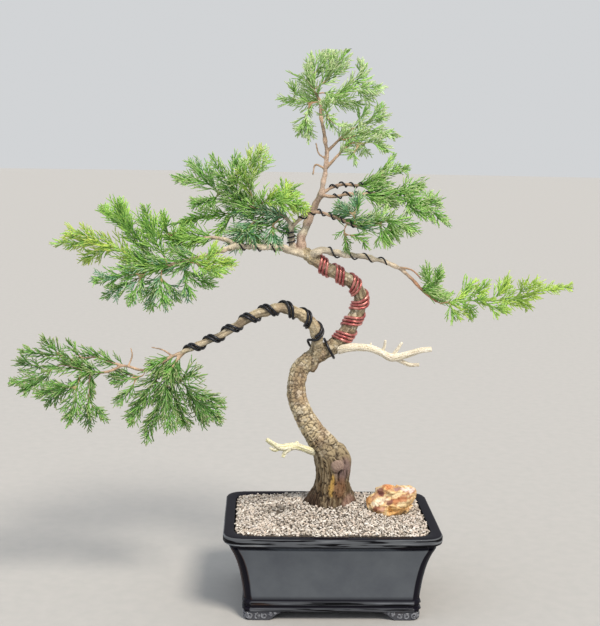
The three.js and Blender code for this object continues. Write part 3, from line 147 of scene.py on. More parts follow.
def showMesh(name, mesh, material, replaced=(), smooth=True):
    piece = linked(name, mesh)
    mesh.materials.clear()
    mesh.materials.append(material)
    mesh.polygons.foreach_set("use_smooth", [smooth] * len(mesh.polygons))
    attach(piece, "root")
    for node in replaced:
        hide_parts(node)


def baked(name, source, modifiers):  # the mesh that these modifiers make of source
    carrier = linked(name, source)
    for kind, settings in modifiers:
        modifier = carrier.modifiers.new(kind, kind)
        for key, value in settings.items():
            setattr(modifier, key, value)
    graph = bpy.context.evaluated_depsgraph_get()
    mesh = bpy.data.meshes.new_from_object(carrier.evaluated_get(graph))
    bpy.data.objects.remove(carrier)
    mesh.name = name
    return mesh


def fused(voxel, passes):  # modifiers that join overlapping bodies into one smooth skin
    return [
        ("REMESH", {"mode": "VOXEL", "voxel_size": voxel * mm}),
        ("SMOOTH", {"factor": 0.5, "iterations": passes}),
    ]


def copyOf(name):  # a merged copy of a CAD node
    mesh = bmesh.new()
    mesh.from_mesh(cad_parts[name].data)
    bmesh.ops.remove_doubles(mesh, verts=mesh.verts, dist=1e-6)
    return mesh


def toMesh(name, source):
    mesh = bpy.data.meshes.new(name)
    source.to_mesh(mesh)
    source.free()
    return mesh


def treeOf(mesh):
    return BVHTree.FromPolygons([v.co for v in mesh.vertices], [p.vertices[:] for p in mesh.polygons])


def rowsOf(mesh, key="co"):
    flat = np.empty(len(mesh.vertices) * 3, np.float32)
    mesh.vertices.foreach_get(key, flat)
    return flat.reshape(-1, 3).astype(float)


def localRows(mesh):  # in millimetres from the middle of the pot's footprint
    return (rowsOf(mesh) - np.array(potMiddle)) / mm


def moved(mesh, offsets):  # pushes the vertices out along their normals
    points = rowsOf(mesh) + rowsOf(mesh, "normal") * offsets[:, None] * mm
    mesh.vertices.foreach_set("co", points.astype(np.float32).ravel())
    mesh.update()


def paint(mesh, name, colours, alpha=1.0):  # one linear colour at each vertex
    layer = mesh.attributes.new(name, "FLOAT_COLOR", "POINT")
    rows = np.empty((len(mesh.vertices), 4), np.float32)
    rows[:, :3] = colours
    rows[:, 3] = alpha
    layer.data.foreach_set("color", rows.ravel())


def ramp(value, low, high):
    t = np.clip((value - low) / (high - low), 0, 1)
    return t * t * (3 - 2 * t)


def blend(a, b, share):
    return a + (b - a) * np.asarray(share)[..., None]


def layered(coat, table, layers):  # each layer blends in one tone of the table
    for name, share in layers:
        coat = blend(coat, table[name], share)
    return coat


def noiseAt(points, scale, *octaves):  # plain noise, or fractal noise of these settings
    kind = noise.fractal if octaves else noise.noise
    return np.array([kind(Vector(row), *octaves) for row in points * scale])


def unit(rows):
    return rows / np.maximum(np.linalg.norm(rows, axis=-1, keepdims=True), 1e-9)


# Centre lines: rows of x, y, z, radius in millimetres, joined by a centripetal curve
def walk(points, perSpan=10):
    rows = np.array(points, float)
    centre = rows[:, :3]
    ends = np.vstack([2 * centre[0] - centre[1], centre, 2 * centre[-1] - centre[-2]])
    out = []
    for i in range(len(centre) - 1):
        a, b, c, d = ends[i:i + 4]
        g0, g1, g2 = [max(np.linalg.norm(v) ** 0.5, 1e-6) for v in (b - a, c - b, d - c)]
        leave = ((b - a) / g0 - (c - a) / (g0 + g1) + (c - b) / g1) * g1
        arrive = ((c - b) / g1 - (d - b) / (g1 + g2) + (d - c) / g2) * g1
        t = np.linspace(0, 1, perSpan + 1)[:, None]
        if i < len(centre) - 2:
            t = t[:-1]
        curve = (2 * t**3 - 3 * t**2 + 1) * b + (t**3 - 2 * t**2 + t) * leave
        curve = curve + (3 * t**2 - 2 * t**3) * c + (t**3 - t**2) * arrive
        out.append(np.hstack([curve, rows[i, 3] * (1 - t) + rows[i + 1, 3] * t]))
    return np.vstack(out)


def measured(rows):  # the walk with its lengths, tangents and a frame that faces the back
    tangent = unit(np.gradient(rows[:, :3], axis=0))
    back = unit(np.array([0, 1, 0]) - tangent * tangent[:, 1:2])
    gaps = np.linalg.norm(np.diff(rows[:, :3], axis=0), axis=1)
    length = np.concatenate([[0], np.cumsum(gaps)])
    return {"rows": rows, "tangent": tangent, "back": back, "side": np.cross(tangent, back), "length": length}


def sampled(line, where, *keys):  # these columns of a measured line at these lengths
    tables = [line[key].T for key in keys]
    return [np.stack([np.interp(where, line["length"], row) for row in rows], axis=1) for rows in tables]


def tubes(name, walks, modifiers=(), resolution=3):  # round closed tubes along walks
    curve = bpy.data.curves.new(name, "CURVE")
    curve.dimensions = "3D"
    curve.bevel_depth = mm
    curve.bevel_resolution = resolution
    curve.use_fill_caps = True
    for rows in walks:
        spline = curve.splines.new("POLY")
        spline.points.add(len(rows) - 1)
        for point, (x, y, z, radius) in zip(spline.points, rows):
            point.co = (*place(x, y, z), 1)
            point.radius = radius
    return baked(name, curve, modifiers)


# Camera, light and floor
view = {"place": (-89, -1409, 543.4), "turn": 2.0, "pitch": 7.87, "roll": -0.926, "lens": 69.0}
camera = linked("camera", bpy.data.cameras.new("camera"))
camera.data.lens = view["lens"]
camera.data.sensor_width = 36
camera.data.clip_end = 200
yaw, pitch, roll = (math.radians(view[key]) for key in ("turn", "pitch", "roll"))
ahead = Vector((math.sin(yaw) * math.cos(pitch), math.cos(yaw) * math.cos(pitch), -math.sin(pitch)))
right = Vector((math.cos(yaw), -math.sin(yaw), 0))
down = ahead.cross(right)
rightRolled = math.cos(roll) * right + math.sin(roll) * down
downRolled = math.cos(roll) * down - math.sin(roll) * right
turned = Matrix((rightRolled, -downRolled, -ahead)).transposed().to_4x4()
camera.matrix_world = Matrix.Translation(place(*view["place"])) @ turned
bpy.context.scene.camera = camera
bpy.context.scene.view_settings.view_transform = "Standard"

lamps = {
    "key": {"from": (900, -1500, 2100), "angle": 18, "strength": 3.0, "colour": "#fff4e4"},
    "fill": {"from": (-1500, -900, 900), "angle": 70, "strength": 0.5, "colour": "#e4edff"},
}
for name, lamp in lamps.items():
    light = bpy.data.lights.new(name, "SUN")
    light.angle = math.radians(lamp["angle"])
    light.energy = lamp["strength"]
    light.color = linear(lamp["colour"])[:3]
    linked(name, light).rotation_euler = (-Vector(lamp["from"])).to_track_quat("-Z", "Y").to_euler()
world = bpy.data.worlds.new("studio")
bpy.context.scene.world = world
world.use_nodes = True
sky = world.node_tree.nodes["Background"].inputs
sky["Color"].default_value = linear("#c9cbcd")
sky["Strength"].default_value = 1.1

disc = bmesh.new()
bmesh.ops.create_circle(disc, segments=96, radius=25, cap_ends=True)
floor = linked("floor", toMesh("floor", disc))
# Pale matt paper, almost even
floor.data.materials.append(grained(
    "floor_paper", {"Roughness": 0.85}, "TexNoise", {"Scale": 60.0, "Detail": 3.0},
    ((0.3, "#b1b1b0"), (0.7, "#b6b5b4"))))
print("stage: camera, light and floor")


# Pot: dark iron glaze on stoneware, all in mm
potShape = {
    "base": (102.3, 82.3), "lip": (127, 96), "cut": 8.5, "lipCut": 19, "bow": 2.5, "sideRatio": 0.56,
    "bandOut": 1.6, "wallLow": 24, "hole": (11, 52), "bevel": 0.9,
    "band": [  # inset and height of each level
        (1.0, 11), (0.1, 11.9), (-0.25, 13.4), (0.1, 15), (1.7, 15.8), (1.9, 17.2), (1.7, 18.6), (0.3, 19.3),
        (-0.1, 20.8), (0.2, 22.4), (1.4, 23.9)],
    "flare": [  # height and half width
        (24.6, 102.3), (30, 102.9), (36, 103.7), (42, 104.5), (48, 105.5), (54, 106.7), (60, 108.0),
        (66, 109.6), (71, 111.2), (76, 113.1), (80, 114.9), (84, 117.0), (87, 118.5)],
    "rim": [  # inset and height
        (7.2, 88.6), (7.4, 90.6), (6.0, 92.2), (1.3, 92.9), (0.25, 93.8), (0, 95.4), (0, 99.8), (0.3, 101.5),
        (1.4, 102.4), (2.6, 102.6), (11.2, 102.6), (12.2, 102.2), (12.5, 101.2), (13.1, 92), (13.5, 82.6)],
    "rimCorner": [(2.2, 10), (2.2, 10.5), (2.2, 13)] + [(0.8, 19)] * 12,  # step and cut of each rim level
    "well": [(96.5, 76.5, 22), (94, 74, 20)],  # half width, half depth, height
    "soles": [(1.5, 0), (0.9, 0.8), (0.2, 13)],
    "feet": (41, 33), "footDepth": 13, "footTop": 11.6,
    "ogee": [  # place beyond the foot's length, height
        (-14, 0), (-12, 0.6), (-9.6, 1.9), (-7.4, 3.7), (-5.2, 5.5), (-3, 7.1), (-0.8, 8.5), (1.6, 9.4),
        (1.6, 11.6)],
}


def potOutline(halfX, halfY, step, bow, cut):  # one level, counter-clockwise, with cut and rounded corners
    quarter = [(halfX, y * (halfY - cut - 1.2)) for y in (0, 0.25, 0.5, 0.75, 1)]
    quarter.append((halfX - step, halfY - cut + 0.4))
    arc = cut - step
    for k in range(1, 8):
        angle = math.pi / 2 * k / 8
        quarter.append((halfX - cut + arc * math.cos(angle), halfY - cut + arc * math.sin(angle)))
    quarter.append((halfX - cut + 0.4, halfY - step))
    reach = halfX - cut - 1.2
    for share in (1, 0.86, 0.72, 0.58, 0.44, 0.3, 0.15):
        quarter.append((reach * share, halfY + bow * (1 - share**2)))
    half = quarter + [(0, halfY + bow)] + [(-x, y) for x, y in reversed(quarter[1:])]
    return half + [(-x, -y) for x, y in half]


def lofted(levels):  # a closed body: the first outline, drawn out to each next one
    mesh = bmesh.new()
    spots = [place(x, y, levels[0][1]) for x, y in levels[0][0]]
    verts = [mesh.verts.new(spot) for spot in spots]
    edges = bmesh.ops.contextual_create(mesh, geom=verts)["faces"][0].edges[:]
    for outline, z in levels[1:]:
        old = {vert.co.to_tuple(7): k for k, vert in enumerate(verts)}
        drawn = bmesh.ops.extrude_edge_only(mesh, edges=edges)["geom"]
        edges = [item for item in drawn if isinstance(item, bmesh.types.BMEdge)]
        fresh = [item for item in drawn if isinstance(item, bmesh.types.BMVert)]
        verts = sorted(fresh, key=lambda vert: old[vert.co.to_tuple(7)])
        edges = [edge for edge in edges if edge.verts[0] in fresh and edge.verts[1] in fresh]
        for vert, (x, y) in zip(verts, outline):
            vert.co = place(x, y, z)
    bmesh.ops.contextual_create(mesh, geom=edges)
    bmesh.ops.recalc_face_normals(mesh, faces=mesh.faces)
    return mesh


baseX, baseY = potShape["base"]
lipX, lipY = potShape["lip"]
bow, cut = potShape["bow"], potShape["cut"]
levels = []
for inset, z in potShape["band"]:
    out = potShape["bandOut"]
    levels.append((potOutline(baseX + out - inset, baseY + out - inset, out, 0, cut), z))
for z, halfX in potShape["flare"]:
    halfY = baseY + (halfX - baseX) * potShape["sideRatio"]
    above = z - potShape["wallLow"]
    levels.append((potOutline(halfX, halfY, 2.2, bow * above / 66, cut + above * 0.02), z))
for (inset, z), (step, corner) in zip(potShape["rim"], potShape["rimCorner"]):
    levels.append((potOutline(lipX - inset, lipY - inset, step, bow, corner), z))
for halfX, halfY, z in potShape["well"]:
    levels.append((potOutline(halfX, halfY, 0.8, bow, potShape["lipCut"]), z))

holes = bmesh.new()
holeRadius, holeX = potShape["hole"]
for x in (-holeX, holeX):
    bmesh.ops.create_cone(
        holes, cap_ends=True, segments=40, radius1=holeRadius * mm, radius2=holeRadius * mm, depth=0.03,
        matrix=Matrix.Translation(place(x, 0, 16)))
feet = bmesh.new()
quadrants = [(signX, signY) for signX in (1, -1) for signY in (1, -1)]
for signX, signY in quadrants:
    for turn, length in enumerate(potShape["feet"]):
        ogee = [(length + beyond, z) for beyond, z in potShape["ogee"]]
        corners = []
        for run, z in [(0, 0)] + ogee + [(0, potShape["footTop"])]:
            x, y = (run, 0) if turn == 0 else (0, run)
            corners.append(feet.verts.new(place(signX * (baseX - x), signY * (baseY - y), z)))
        grown = bmesh.ops.extrude_face_region(feet, geom=[feet.faces.new(corners)])["geom"]
        deep = potShape["footDepth"] * mm
        inward = (0, -signY * deep, 0) if turn == 0 else (-signX * deep, 0, 0)
        bmesh.ops.translate(feet, vec=inward, verts=[v for v in grown if isinstance(v, bmesh.types.BMVert)])
bmesh.ops.recalc_face_normals(feet, faces=feet.faces)
tread = lofted([(potOutline(baseX - inset, baseY - inset, 0.8, 0, cut), z) for inset, z in potShape["soles"]])
tools = {name: linked(name, toMesh(name, mesh)) for name, mesh in (("holes", holes), ("tread", tread))}
tools["feet"] = linked("bounded", baked("feet", toMesh("feet", feet), [
    ("BOOLEAN", {"operation": "INTERSECT", "object": tools["tread"], "use_self": True})]))
potMesh = baked("pot_glazed", toMesh("pot_glazed", lofted(levels)), [
    ("BOOLEAN", {"operation": "UNION", "object": tools["feet"]}),
    ("BOOLEAN", {"operation": "DIFFERENCE", "object": tools["holes"]}),
    ("BEVEL", {
        "affect": "EDGES", "width": potShape["bevel"] * mm, "segments": 3, "profile": 0.5, "material": -1,
        "limit_method": "ANGLE", "angle_limit": math.radians(32)}),
])
for tool in tools.values():
    bpy.data.objects.remove(tool)

# Which part of the pot each vertex is on, by its height and reach
x, y, z = localRows(potMesh).T
x, y = np.abs(x), np.abs(y)
bodyX = np.interp(z, *zip(*potShape["flare"]))
bodyY = baseY + (bodyX - baseX) * potShape["sideRatio"]
inner = cut + (z - potShape["wallLow"]) * 0.02 + 0.8
onFace = ((x < bodyX - inner) & (y > bodyY - 1)) | ((y < bodyY - inner) & (x > bodyX - 1))
onCorner = x + y > lipX + lipY - potShape["lipCut"] - 2.4
onPanel = (z > 24.7) & (z < 89) & onFace
onLip = (z > 92.6) & (z < 101.9) & ((x > 125.4) | (y > 94.4) | onCorner)
onBand = (z > 11.2) & (z < 24) & ((x > baseX + 1.2) | (y > baseY + 1.2))
onFoot = (z < 11) & (y > baseY - 3)
# The glaze itself is the dark tone; the lighter panel, lip, band and foot tones are painted reflection of the
# sky on it
glazeAndReflections = toneTable(
    panel="#5c6167", dark="#16151e", lip="#8a8f94", band="#70747a", scroll="#8d9096", foot="#56585e")
paint(potMesh, "coat", layered(np.tile(glazeAndReflections["dark"], (len(x), 1)), glazeAndReflections, (
    ("panel", onPanel), ("lip", onLip), ("band", onBand), ("foot", onFoot))))
# Where the painted reflection on the lip and band is broken by dark streaks; on the band these also stand for
# the moulded dashes
paint(potMesh, "streaked", np.tile((onLip | onBand)[:, None] * 1.0, (1, 3)))

# A glossy navy-black iron glaze, with painted reflection of the sky that makes it slate grey on the flats and
# lighter on the lip, band and feet, and brown where it breaks thin over the edges
glaze, tree, shader, where = newMaterial("glazed_iron_stoneware", {
    "Roughness": 0.15, "Specular IOR Level": 0.0, "Coat Weight": 0.2, "Coat Roughness": 0.06})
painted = addNode(tree, "Attribute", {"attribute_name": "coat"})
streaked = addNode(tree, "Attribute", {"attribute_name": "streaked"}).outputs["Fac"]
drawn = addNode(tree, "Mapping", inputs={"Vector": where, "Scale": (16, 16, 330)})
flow = addNode(tree, "TexNoise", inputs={"Vector": drawn, "Scale": 1.0, "Detail": 2.0})
# Dark streaks drawn across the painted reflection on the lip and band
reflectionStreaks = addNode(tree, "ValToRGB", {
    "stops": ((0.34, "#ffffff"), (0.43, "#b4b4b6"), (0.53, "#a2a2a4"), (0.57, "#1c1c22"))}, {"Fac": flow})
streaky = addNode(tree, "Mix", multiplied, {0: streaked, 6: painted, 7: reflectionStreaks})
mottle = addNode(tree, "TexNoise", inputs={"Vector": where, "Scale": 30.0, "Detail": 4.0, "Roughness": 0.6})
cloud = addNode(tree, "ValToRGB", {"stops": ((0.3, "#e4e4e8"), (0.7, "#ffffff"))}, {"Fac": mottle})
clouded = addNode(tree, "Mix", multiplied, {0: 1.0, 6: streaky, 7: cloud})
edge = addNode(tree, "NewGeometry").outputs["Pointiness"]
worn = addNode(tree, "ValToRGB", {"stops": ((0.53, "#000000"), (0.66, "#c0c0c0"))}, {"Fac": edge})
wear = addNode(tree, "Math", {"operation": "MULTIPLY"}, {0: worn, 1: painted.outputs["Alpha"]})
shade = addNode(tree, "Mix", mixed, {0: wear, 6: clouded, 7: linear("#4f3d36")})
pits = addNode(tree, "TexNoise", inputs={"Vector": where, "Scale": 220.0, "Detail": 2.0})
dress(tree, shader, shade, pits, (0.05, 0.001))
showMesh("pot_glazed", potMesh, glaze, ["pot"])

# Cloud scrolls in relief on the feet
scrolls = {"thick": 1.1, "steps": 26, "rows": [  # place along the foot, height, radius, turns
    (6.6, 6.2, 4.2, 1.6), (15.4, 5.2, 3.6, -1.5), (23.6, 5.9, 3.3, 1.5), (31.0, 7.6, 2.4, -1.3),
    (36.6, 9.4, 1.3, 1.0)]}
coils = []
rounding = cut - 0.8
for signX, signY in quadrants:
    for turn, squeeze in enumerate((1, 0.8)):
        for run, height, reach, turns in scrolls["rows"]:
            coil = []
            for k in range(scrolls["steps"] + 1):
                angle = turns * 2 * math.pi * k / scrolls["steps"] + 2.2
                spread = reach * (1 - 0.75 * k / scrolls["steps"])
                u, z = run * squeeze + spread * math.cos(angle), height + spread * math.sin(angle)
                hollow = rounding - math.sqrt(max(rounding**2 - max(0, cut - u) ** 2, 0))
                sunk = 0.9 - 0.7 * (z - 0.8) / 12.2 + hollow
                x, y = (baseX - u, baseY - sunk) if turn == 0 else (baseX - sunk, baseY - u)
                coil.append((signX * x, signY * y, z, scrolls["thick"]))
            coils.append(coil)
scrollMesh = tubes("pot_foot_scrolls", coils, resolution=1)
# The scrolls are painted lighter in patches: a painted highlight on the relief, over the foot's painted
# reflection
fade = noiseAt(localRows(scrollMesh), 0.4)
scrollCoat = np.tile(glazeAndReflections["foot"], (len(fade), 1))
scrollCoat = blend(scrollCoat, glazeAndReflections["scroll"], ramp(fade, -0.35, 0.25))
paint(scrollMesh, "coat", scrollCoat, 0.0)  # no worn edges
showMesh("pot_foot_scrolls", scrollMesh, glaze)
print("stage: pot", len(potMesh.polygons), len(scrollMesh.polygons))


# Live wood: every limb's centre line, from millimetre rows of x, y, z, radius
limbs = {
    "trunk": [(3, 31, 86, 22), (2, 30, 98, 28), (2, 30, 112, 26), (3, 29, 124, 22), (4, 29, 137, 20),
        (4, 28, 150, 20), (2, 28, 162, 20), (-5, 26, 178, 17.3), (-18, 25, 196, 13.7), (-31, 24, 217, 12.2),
        (-40, 23, 238, 11.5), (-42, 22, 257, 11), (-38, 22, 276, 10.6), (-27, 23, 288, 10.3)],
    "bend": [(-38, 22, 276, 9), (-27, 23, 288, 10.2), (-10, 25, 298, 9.8), (6, 27, 307, 9.3),
        (17, 28, 320, 9.1), (24, 28, 333, 8.8), (31, 27, 349, 8.2), (34, 25, 362, 7.8), (30, 23, 375, 7.5),
        (20, 22, 385, 7.4), (6, 22, 393, 7.3), (-9, 22, 401, 7.3), (-22, 22, 410, 7.4), (-34, 22, 419, 7.4)],
    "leader": [(-30, 22, 414, 6.5), (-39, 22, 425, 6), (-38, 22, 438, 5), (-32, 22, 452, 4.7),
        (-27, 21, 465, 4.3), (-21, 20, 479, 3.9), (-16, 19, 490, 3.7), (-14, 18, 505, 2.8),
        (-11, 16, 523, 2.5), (-11, 15, 540, 2.4), (-15, 13, 562, 2.1), (-19, 12, 580, 1.9),
        (-20, 11, 596, 1.7), (-27, 8, 609, 1.2), (-37, 4, 622, 0.9)],
    "low": [(-27, 23, 276, 7), (-22, 22, 287, 7.8), (-19, 18, 301, 7.5), (-18, 13, 315, 7.1),
        (-22, 8, 330, 6.7), (-32, 3, 342, 6.5), (-46, -1, 350, 6.3), (-62, -4, 355, 6.1),
        (-84, -8, 350, 5.6), (-106, -12, 340, 4.9), (-127, -16, 327, 4.3), (-149, -19, 316, 3.8),
        (-168, -22, 308, 3.3), (-178, -24, 303, 3)],
    "left": [(-32, 21, 416, 5), (-49, 16, 421, 4.4), (-68, 10, 425, 3.9), (-92, 4, 426, 3.7),
        (-113, -1, 427, 3.4), (-126, -5, 425, 3)],
    "leftUp": [(-113, -1, 427, 2.8), (-126, 2, 433, 2.6), (-143, 5, 436, 2.2), (-162, 8, 435, 1.9),
        (-185, 10, 430, 1.5)],
    "leftLow": [(-120, -3, 426, 2.8), (-147, -15, 418, 2.1), (-176, -22, 411, 1.8), (-194, -26, 406, 1.6),
        (-210, -28, 405, 1.5), (-223, -30, 407, 1.3)],
    "right": [(-29, 20, 415, 5), (-15, 14, 422, 4.4), (3, 10, 419, 3.7), (23, 8, 417, 3.2),
        (44, 7, 414, 2.9), (60, 7, 410, 2.6), (77, 8, 403, 2.4), (92, 10, 391, 2), (109, 12, 374, 1.7),
        (125, 14, 362, 1.4)],
    "riser": [(-42, 22, 418, 4.2), (-50, 21, 426, 3.8), (-51, 20, 438, 3.2), (-51, 20, 450, 2.9),
        (-60, 22, 461, 2.5), (-77, 24, 466, 2.2), (-93, 25, 469, 2), (-104, 26, 474, 1.7),
        (-118, 26, 480, 1.5)],
    "eastLow": [(-51, 20, 449, 2.4), (-45, 13, 456, 2.3), (-38, 9, 462, 2.2), (-30, 6, 467, 2.1),
        (-18, 5, 468, 2), (-5, 3, 464, 1.9), (13, 0, 458, 1.8), (25, -3, 453, 1.7), (38, -4, 452, 1.5)],
    "eastUpA": [(-17, 19, 489, 2.2), (-2, 25, 497, 2), (10, 28, 500, 1.9), (26, 31, 499, 1.7),
        (43, 30, 502, 1.5)],
    "eastUpB": [(-16, 18, 487, 2.2), (1, 14, 486, 2), (14, 16, 489, 1.9), (31, 18, 489, 1.8),
        (46, 20, 490, 1.6), (61, 20, 489, 1.4)],
    "crownLow": [(-11, 16, 519, 1.9), (1, 14, 533, 1.6), (13, 12, 546, 1.3)],
    "crownHigh": [(-12, 16, 537, 1.9), (0, 18, 549, 1.6), (11, 20, 560, 1.3)],
    "lowForkA": [(-172, -23, 306, 2.3), (-187, -25, 300, 2), (-198, -26, 294, 1.7), (-207, -27, 288, 1.6)],
    "lowForkB": [(-175, -24, 304, 2.2), (-182, -28, 297, 1.8), (-189, -31, 286, 1.4)],
    "lowWest": [(-204, -27, 290, 1.7), (-222, -28, 283, 1.6), (-240, -27, 287, 1.5), (-252, -25, 289, 1.5),
        (-267, -23, 294, 1.4), (-278, -22, 297, 1.3), (-290, -20, 295, 1.1)],
    "lowFar": [(-247, -26, 288, 1.5), (-264, -30, 281, 1.5), (-278, -32, 281, 1.5), (-293, -33, 285, 1.4),
        (-311, -33, 289, 1.2)],
    "lowHang": [(-282, -32, 282, 1.3), (-284, -34, 272, 1.2), (-284, -35, 262, 1.1)],
    "twigA": [(-27, 12, 511, 1), (-24, 13, 523, 1.1), (-13, 17, 519, 1.4)],
    "twigB": [(-24, 12, 549, 0.9), (-20, 13, 536, 1), (-11, 15, 530, 1.3)],
    "twigC": [(73, 8, 404, 1.5), (92, 6, 401, 1.1), (104, 6, 391, 0.9)],
    "twigD": [(-188, -25, 299, 1.3), (-200, -22, 306, 1), (-214, -20, 309, 0.8)],
    "twigE": [(-240, -27, 287, 1.2), (-236, -22, 299, 1), (-238, -18, 308, 0.8)],
}
swellings = [  # root flare, shoulder over an old cut, round callus
    [(-6, 30, 126, 12), (-14, 31, 112, 13), (-24, 32, 101, 10), (-31, 34, 93, 6)],
    [(14, 32, 128, 13), (20, 36, 113, 13), (27, 42, 101, 10), (34, 48, 92, 6)],
    [(2, 24, 126, 12), (0, 16, 110, 12), (-2, 10, 98, 9)],
    [(4, 30, 182, 6), (10, 29, 174, 11), (15, 28, 162, 12), (15, 28, 146, 11), (12, 29, 128, 11)],
    [(6, 24, 158, 9.5), (8, 14, 160, 9.6), (9, 7, 161, 8.6), (9, 4, 161, 5.4)],
]
woodShape = {"voxel": 1.0, "inflate": 0.15, "apart": 170, "callus": (9, 3, 161), "spots": [
    # Middle, reach, narrowing across, tone, share
    ((17, 14, 154), 13, 0.8, "shoulder", 0.78), ((4, 5, 140), 9, 2.6, "streak", 0.95),
    ((2, 6, 130), 8, 1.9, "streak", 0.8), ((14, 6, 132), 13, 1.0, "red", 0.6),
    ((24, 20, 108), 12, 0.8, "pink", 0.55), ((-46, 12, 402), 9, 0.8, "pink", 0.9),
    ((-39, 20, 432), 9, 0.8, "pink", 0.6)]}
lines = {name: measured(walk(points)) for name, points in limbs.items()}


def unrolled(mesh, group):  # vertices, the same laid out along their nearest lines, and the radius there
    points = localRows(mesh)
    fields = [np.vstack([line[key] for line in group]) for key in ("rows", "tangent", "back", "side")]
    rows = fields[0]
    length = np.concatenate([line["length"] + woodShape["apart"] * k for k, line in enumerate(group)])
    nearest = np.empty(len(points), int)
    for start in range(0, len(points), 4000):
        part = points[start:start + 4000]
        gap = np.linalg.norm(part[:, None, :] - rows[None, :, :3], axis=2) - rows[None, :, 3]
        nearest[start:start + 4000] = gap.argmin(axis=1)
    offset = points - rows[nearest, :3]
    slip, across, beside = ((offset * field[nearest]).sum(axis=1) for field in fields[1:])
    radius = rows[nearest, 3]
    reach = np.maximum(np.hypot(across, beside), 1e-6)
    flat = np.stack([radius * across / reach, radius * beside / reach, length[nearest] + slip], axis=1)
    return points, flat, radius


bodies = [line["rows"] + [0, 0, 0, woodShape["inflate"]] for line in lines.values()]
bodies += [walk(points) for points in swellings]
woodMesh = tubes("live_wood", bodies, fused(woodShape["voxel"], 3))
woodPoints, woodFlat, woodRadius = unrolled(woodMesh, list(lines.values()))
height = woodPoints[:, 2]
plates = np.empty((len(woodPoints), 3))
scaly = ramp(height, 160, 185) * ramp(woodRadius, 3.5, 8)  # blocky scales above, long fibres below
for i, (q, radius, block) in enumerate(zip(woodFlat, woodRadius, scaly)):
    coarse = min(max((radius - 6) / 12, 0), 1)
    wide = 3.0 + 3.4 * coarse
    spot = Vector((q[0] / wide, q[1] / wide, q[2] / (wide * 4.6)))
    row = np.zeros(3)
    for share, across, stretch in ((1 - block, 1, 1), (block, 0.6, 3.9)):
        if share > 0:
            shape = Vector((spot.x * across, spot.y * across, (spot.z + 0.1 * spot.x) * stretch))
            distances, cells = noise.voronoi(shape + noise.noise_vector(shape * 1.3) * (0.7 - 0.35 * block))
            row += share * np.array([distances[1] - distances[0], noise.cell(cells[0] * 7.3), 0])
    plates[i] = row[0], row[1], noise.fractal(spot * 2.3, 0.7, 2.1, 3)
thick = ramp(woodRadius, 2.5, 16)
callus = 1 - ramp(np.linalg.norm(woodPoints - woodShape["callus"], axis=1), 7.0, 9.0)
crack = 1 - ramp(plates[:, 0], 0.02, 0.2 - 0.03 * scaly)
crack = crack * np.maximum(ramp(plates[:, 2], 0.35, -0.25), 0.75 * scaly)
knobs = noiseAt(woodFlat, (0.12, 0.12, 0.11))
slim = ramp(woodRadius, 1.2, 3.0) * (1 - thick)
relief = (0.16 + 1.25 * thick) * (0.35 - crack) + (0.16 + 0.7 * thick) * plates[:, 2]
relief = relief + 2.3 * slim * np.maximum(knobs, -0.25)
moved(woodMesh, relief * (1 - 0.85 * callus))

woodTones = toneTable(
    tan="#d8c8a6", pale="#fbf2dc", grey="#a89c86", red="#8c6248", crack="#3c3026", pink="#c7a196",
    callus="#b39c90", shoulder="#8d7779", streak="#d3ad60", root="#49372e", limb="#eee3cf", twig="#d3b69c",
    olive="#6d5b42", rust="#c88f6e")
patch = noiseAt(woodFlat, 0.05)
streak = noiseAt(woodFlat, (0.35, 0.35, 0.03))
coat = layered(np.tile(woodTones["tan"], (len(height), 1)), woodTones, (
    ("pale", ramp(plates[:, 1], 0.0, 0.9) * 0.75),
    ("grey", ramp(streak, -0.05, 0.35) * 0.7),
    ("red", ramp(patch, 0.15, 0.4) * 0.35),
    ("olive", (1 - ramp(height, 150, 214)) * (0.62 + 0.33 * ramp(streak, -0.25, 0.2))),
    ("limb", (1 - ramp(woodRadius, 4.2, 7.5)) * (0.3 + 0.5 * (height > 380))),
    ("olive", ramp(streak, -0.15, 0.3) * (1 - thick) * (height < 380) * 0.6),
))
coat = coat * (1 - 0.16 * (1 - thick) * (height < 380))[:, None]
coat = coat * (1 + 0.24 * ramp(height, 180, 205) * (1 - ramp(height, 255, 290)))[:, None]
coat = coat / np.maximum(coat.max(axis=1, keepdims=True) / 0.86, 1)  # or the palest scales would clip
coat = layered(coat, woodTones, (
    ("pink", (height > 450) * ramp(woodPoints[:, 0], -42, -30) * 0.55),
    ("twig", 1 - ramp(woodRadius, 1.4, 3.0)),
    ("rust", ramp(woodPoints[:, 0], 84, 100) * 0.7),
))
# Painted light and shade of the knobs on the slim limbs: lighter where they stand out, darker between
coat = coat * (1 + 0.7 * np.clip(knobs, -0.5, 0.5) * (1 - thick))[:, None]
coat = layered(coat, woodTones, [
    ("root", (1 - ramp(height, 99, 132)) * (0.5 + 0.4 * ramp(streak, -0.2, 0.2))),
    ("root", (1 - ramp(height, 108, 150)) * (1 - ramp(woodPoints[:, 0], -16, -4)) * 0.8),
] + [
    (tone, share * (1 - ramp(
        np.linalg.norm((woodPoints - middle) * [narrow, 0.6, 0.7], axis=1), reach * 0.5, reach)))
    for middle, reach, narrow, tone, share in woodShape["spots"]
] + [
    ("callus", callus * 0.9),
    ("crack", crack * (0.4 + 0.6 * thick) * (1 - 0.9 * callus)),
])
paint(woodMesh, "coat", coat)

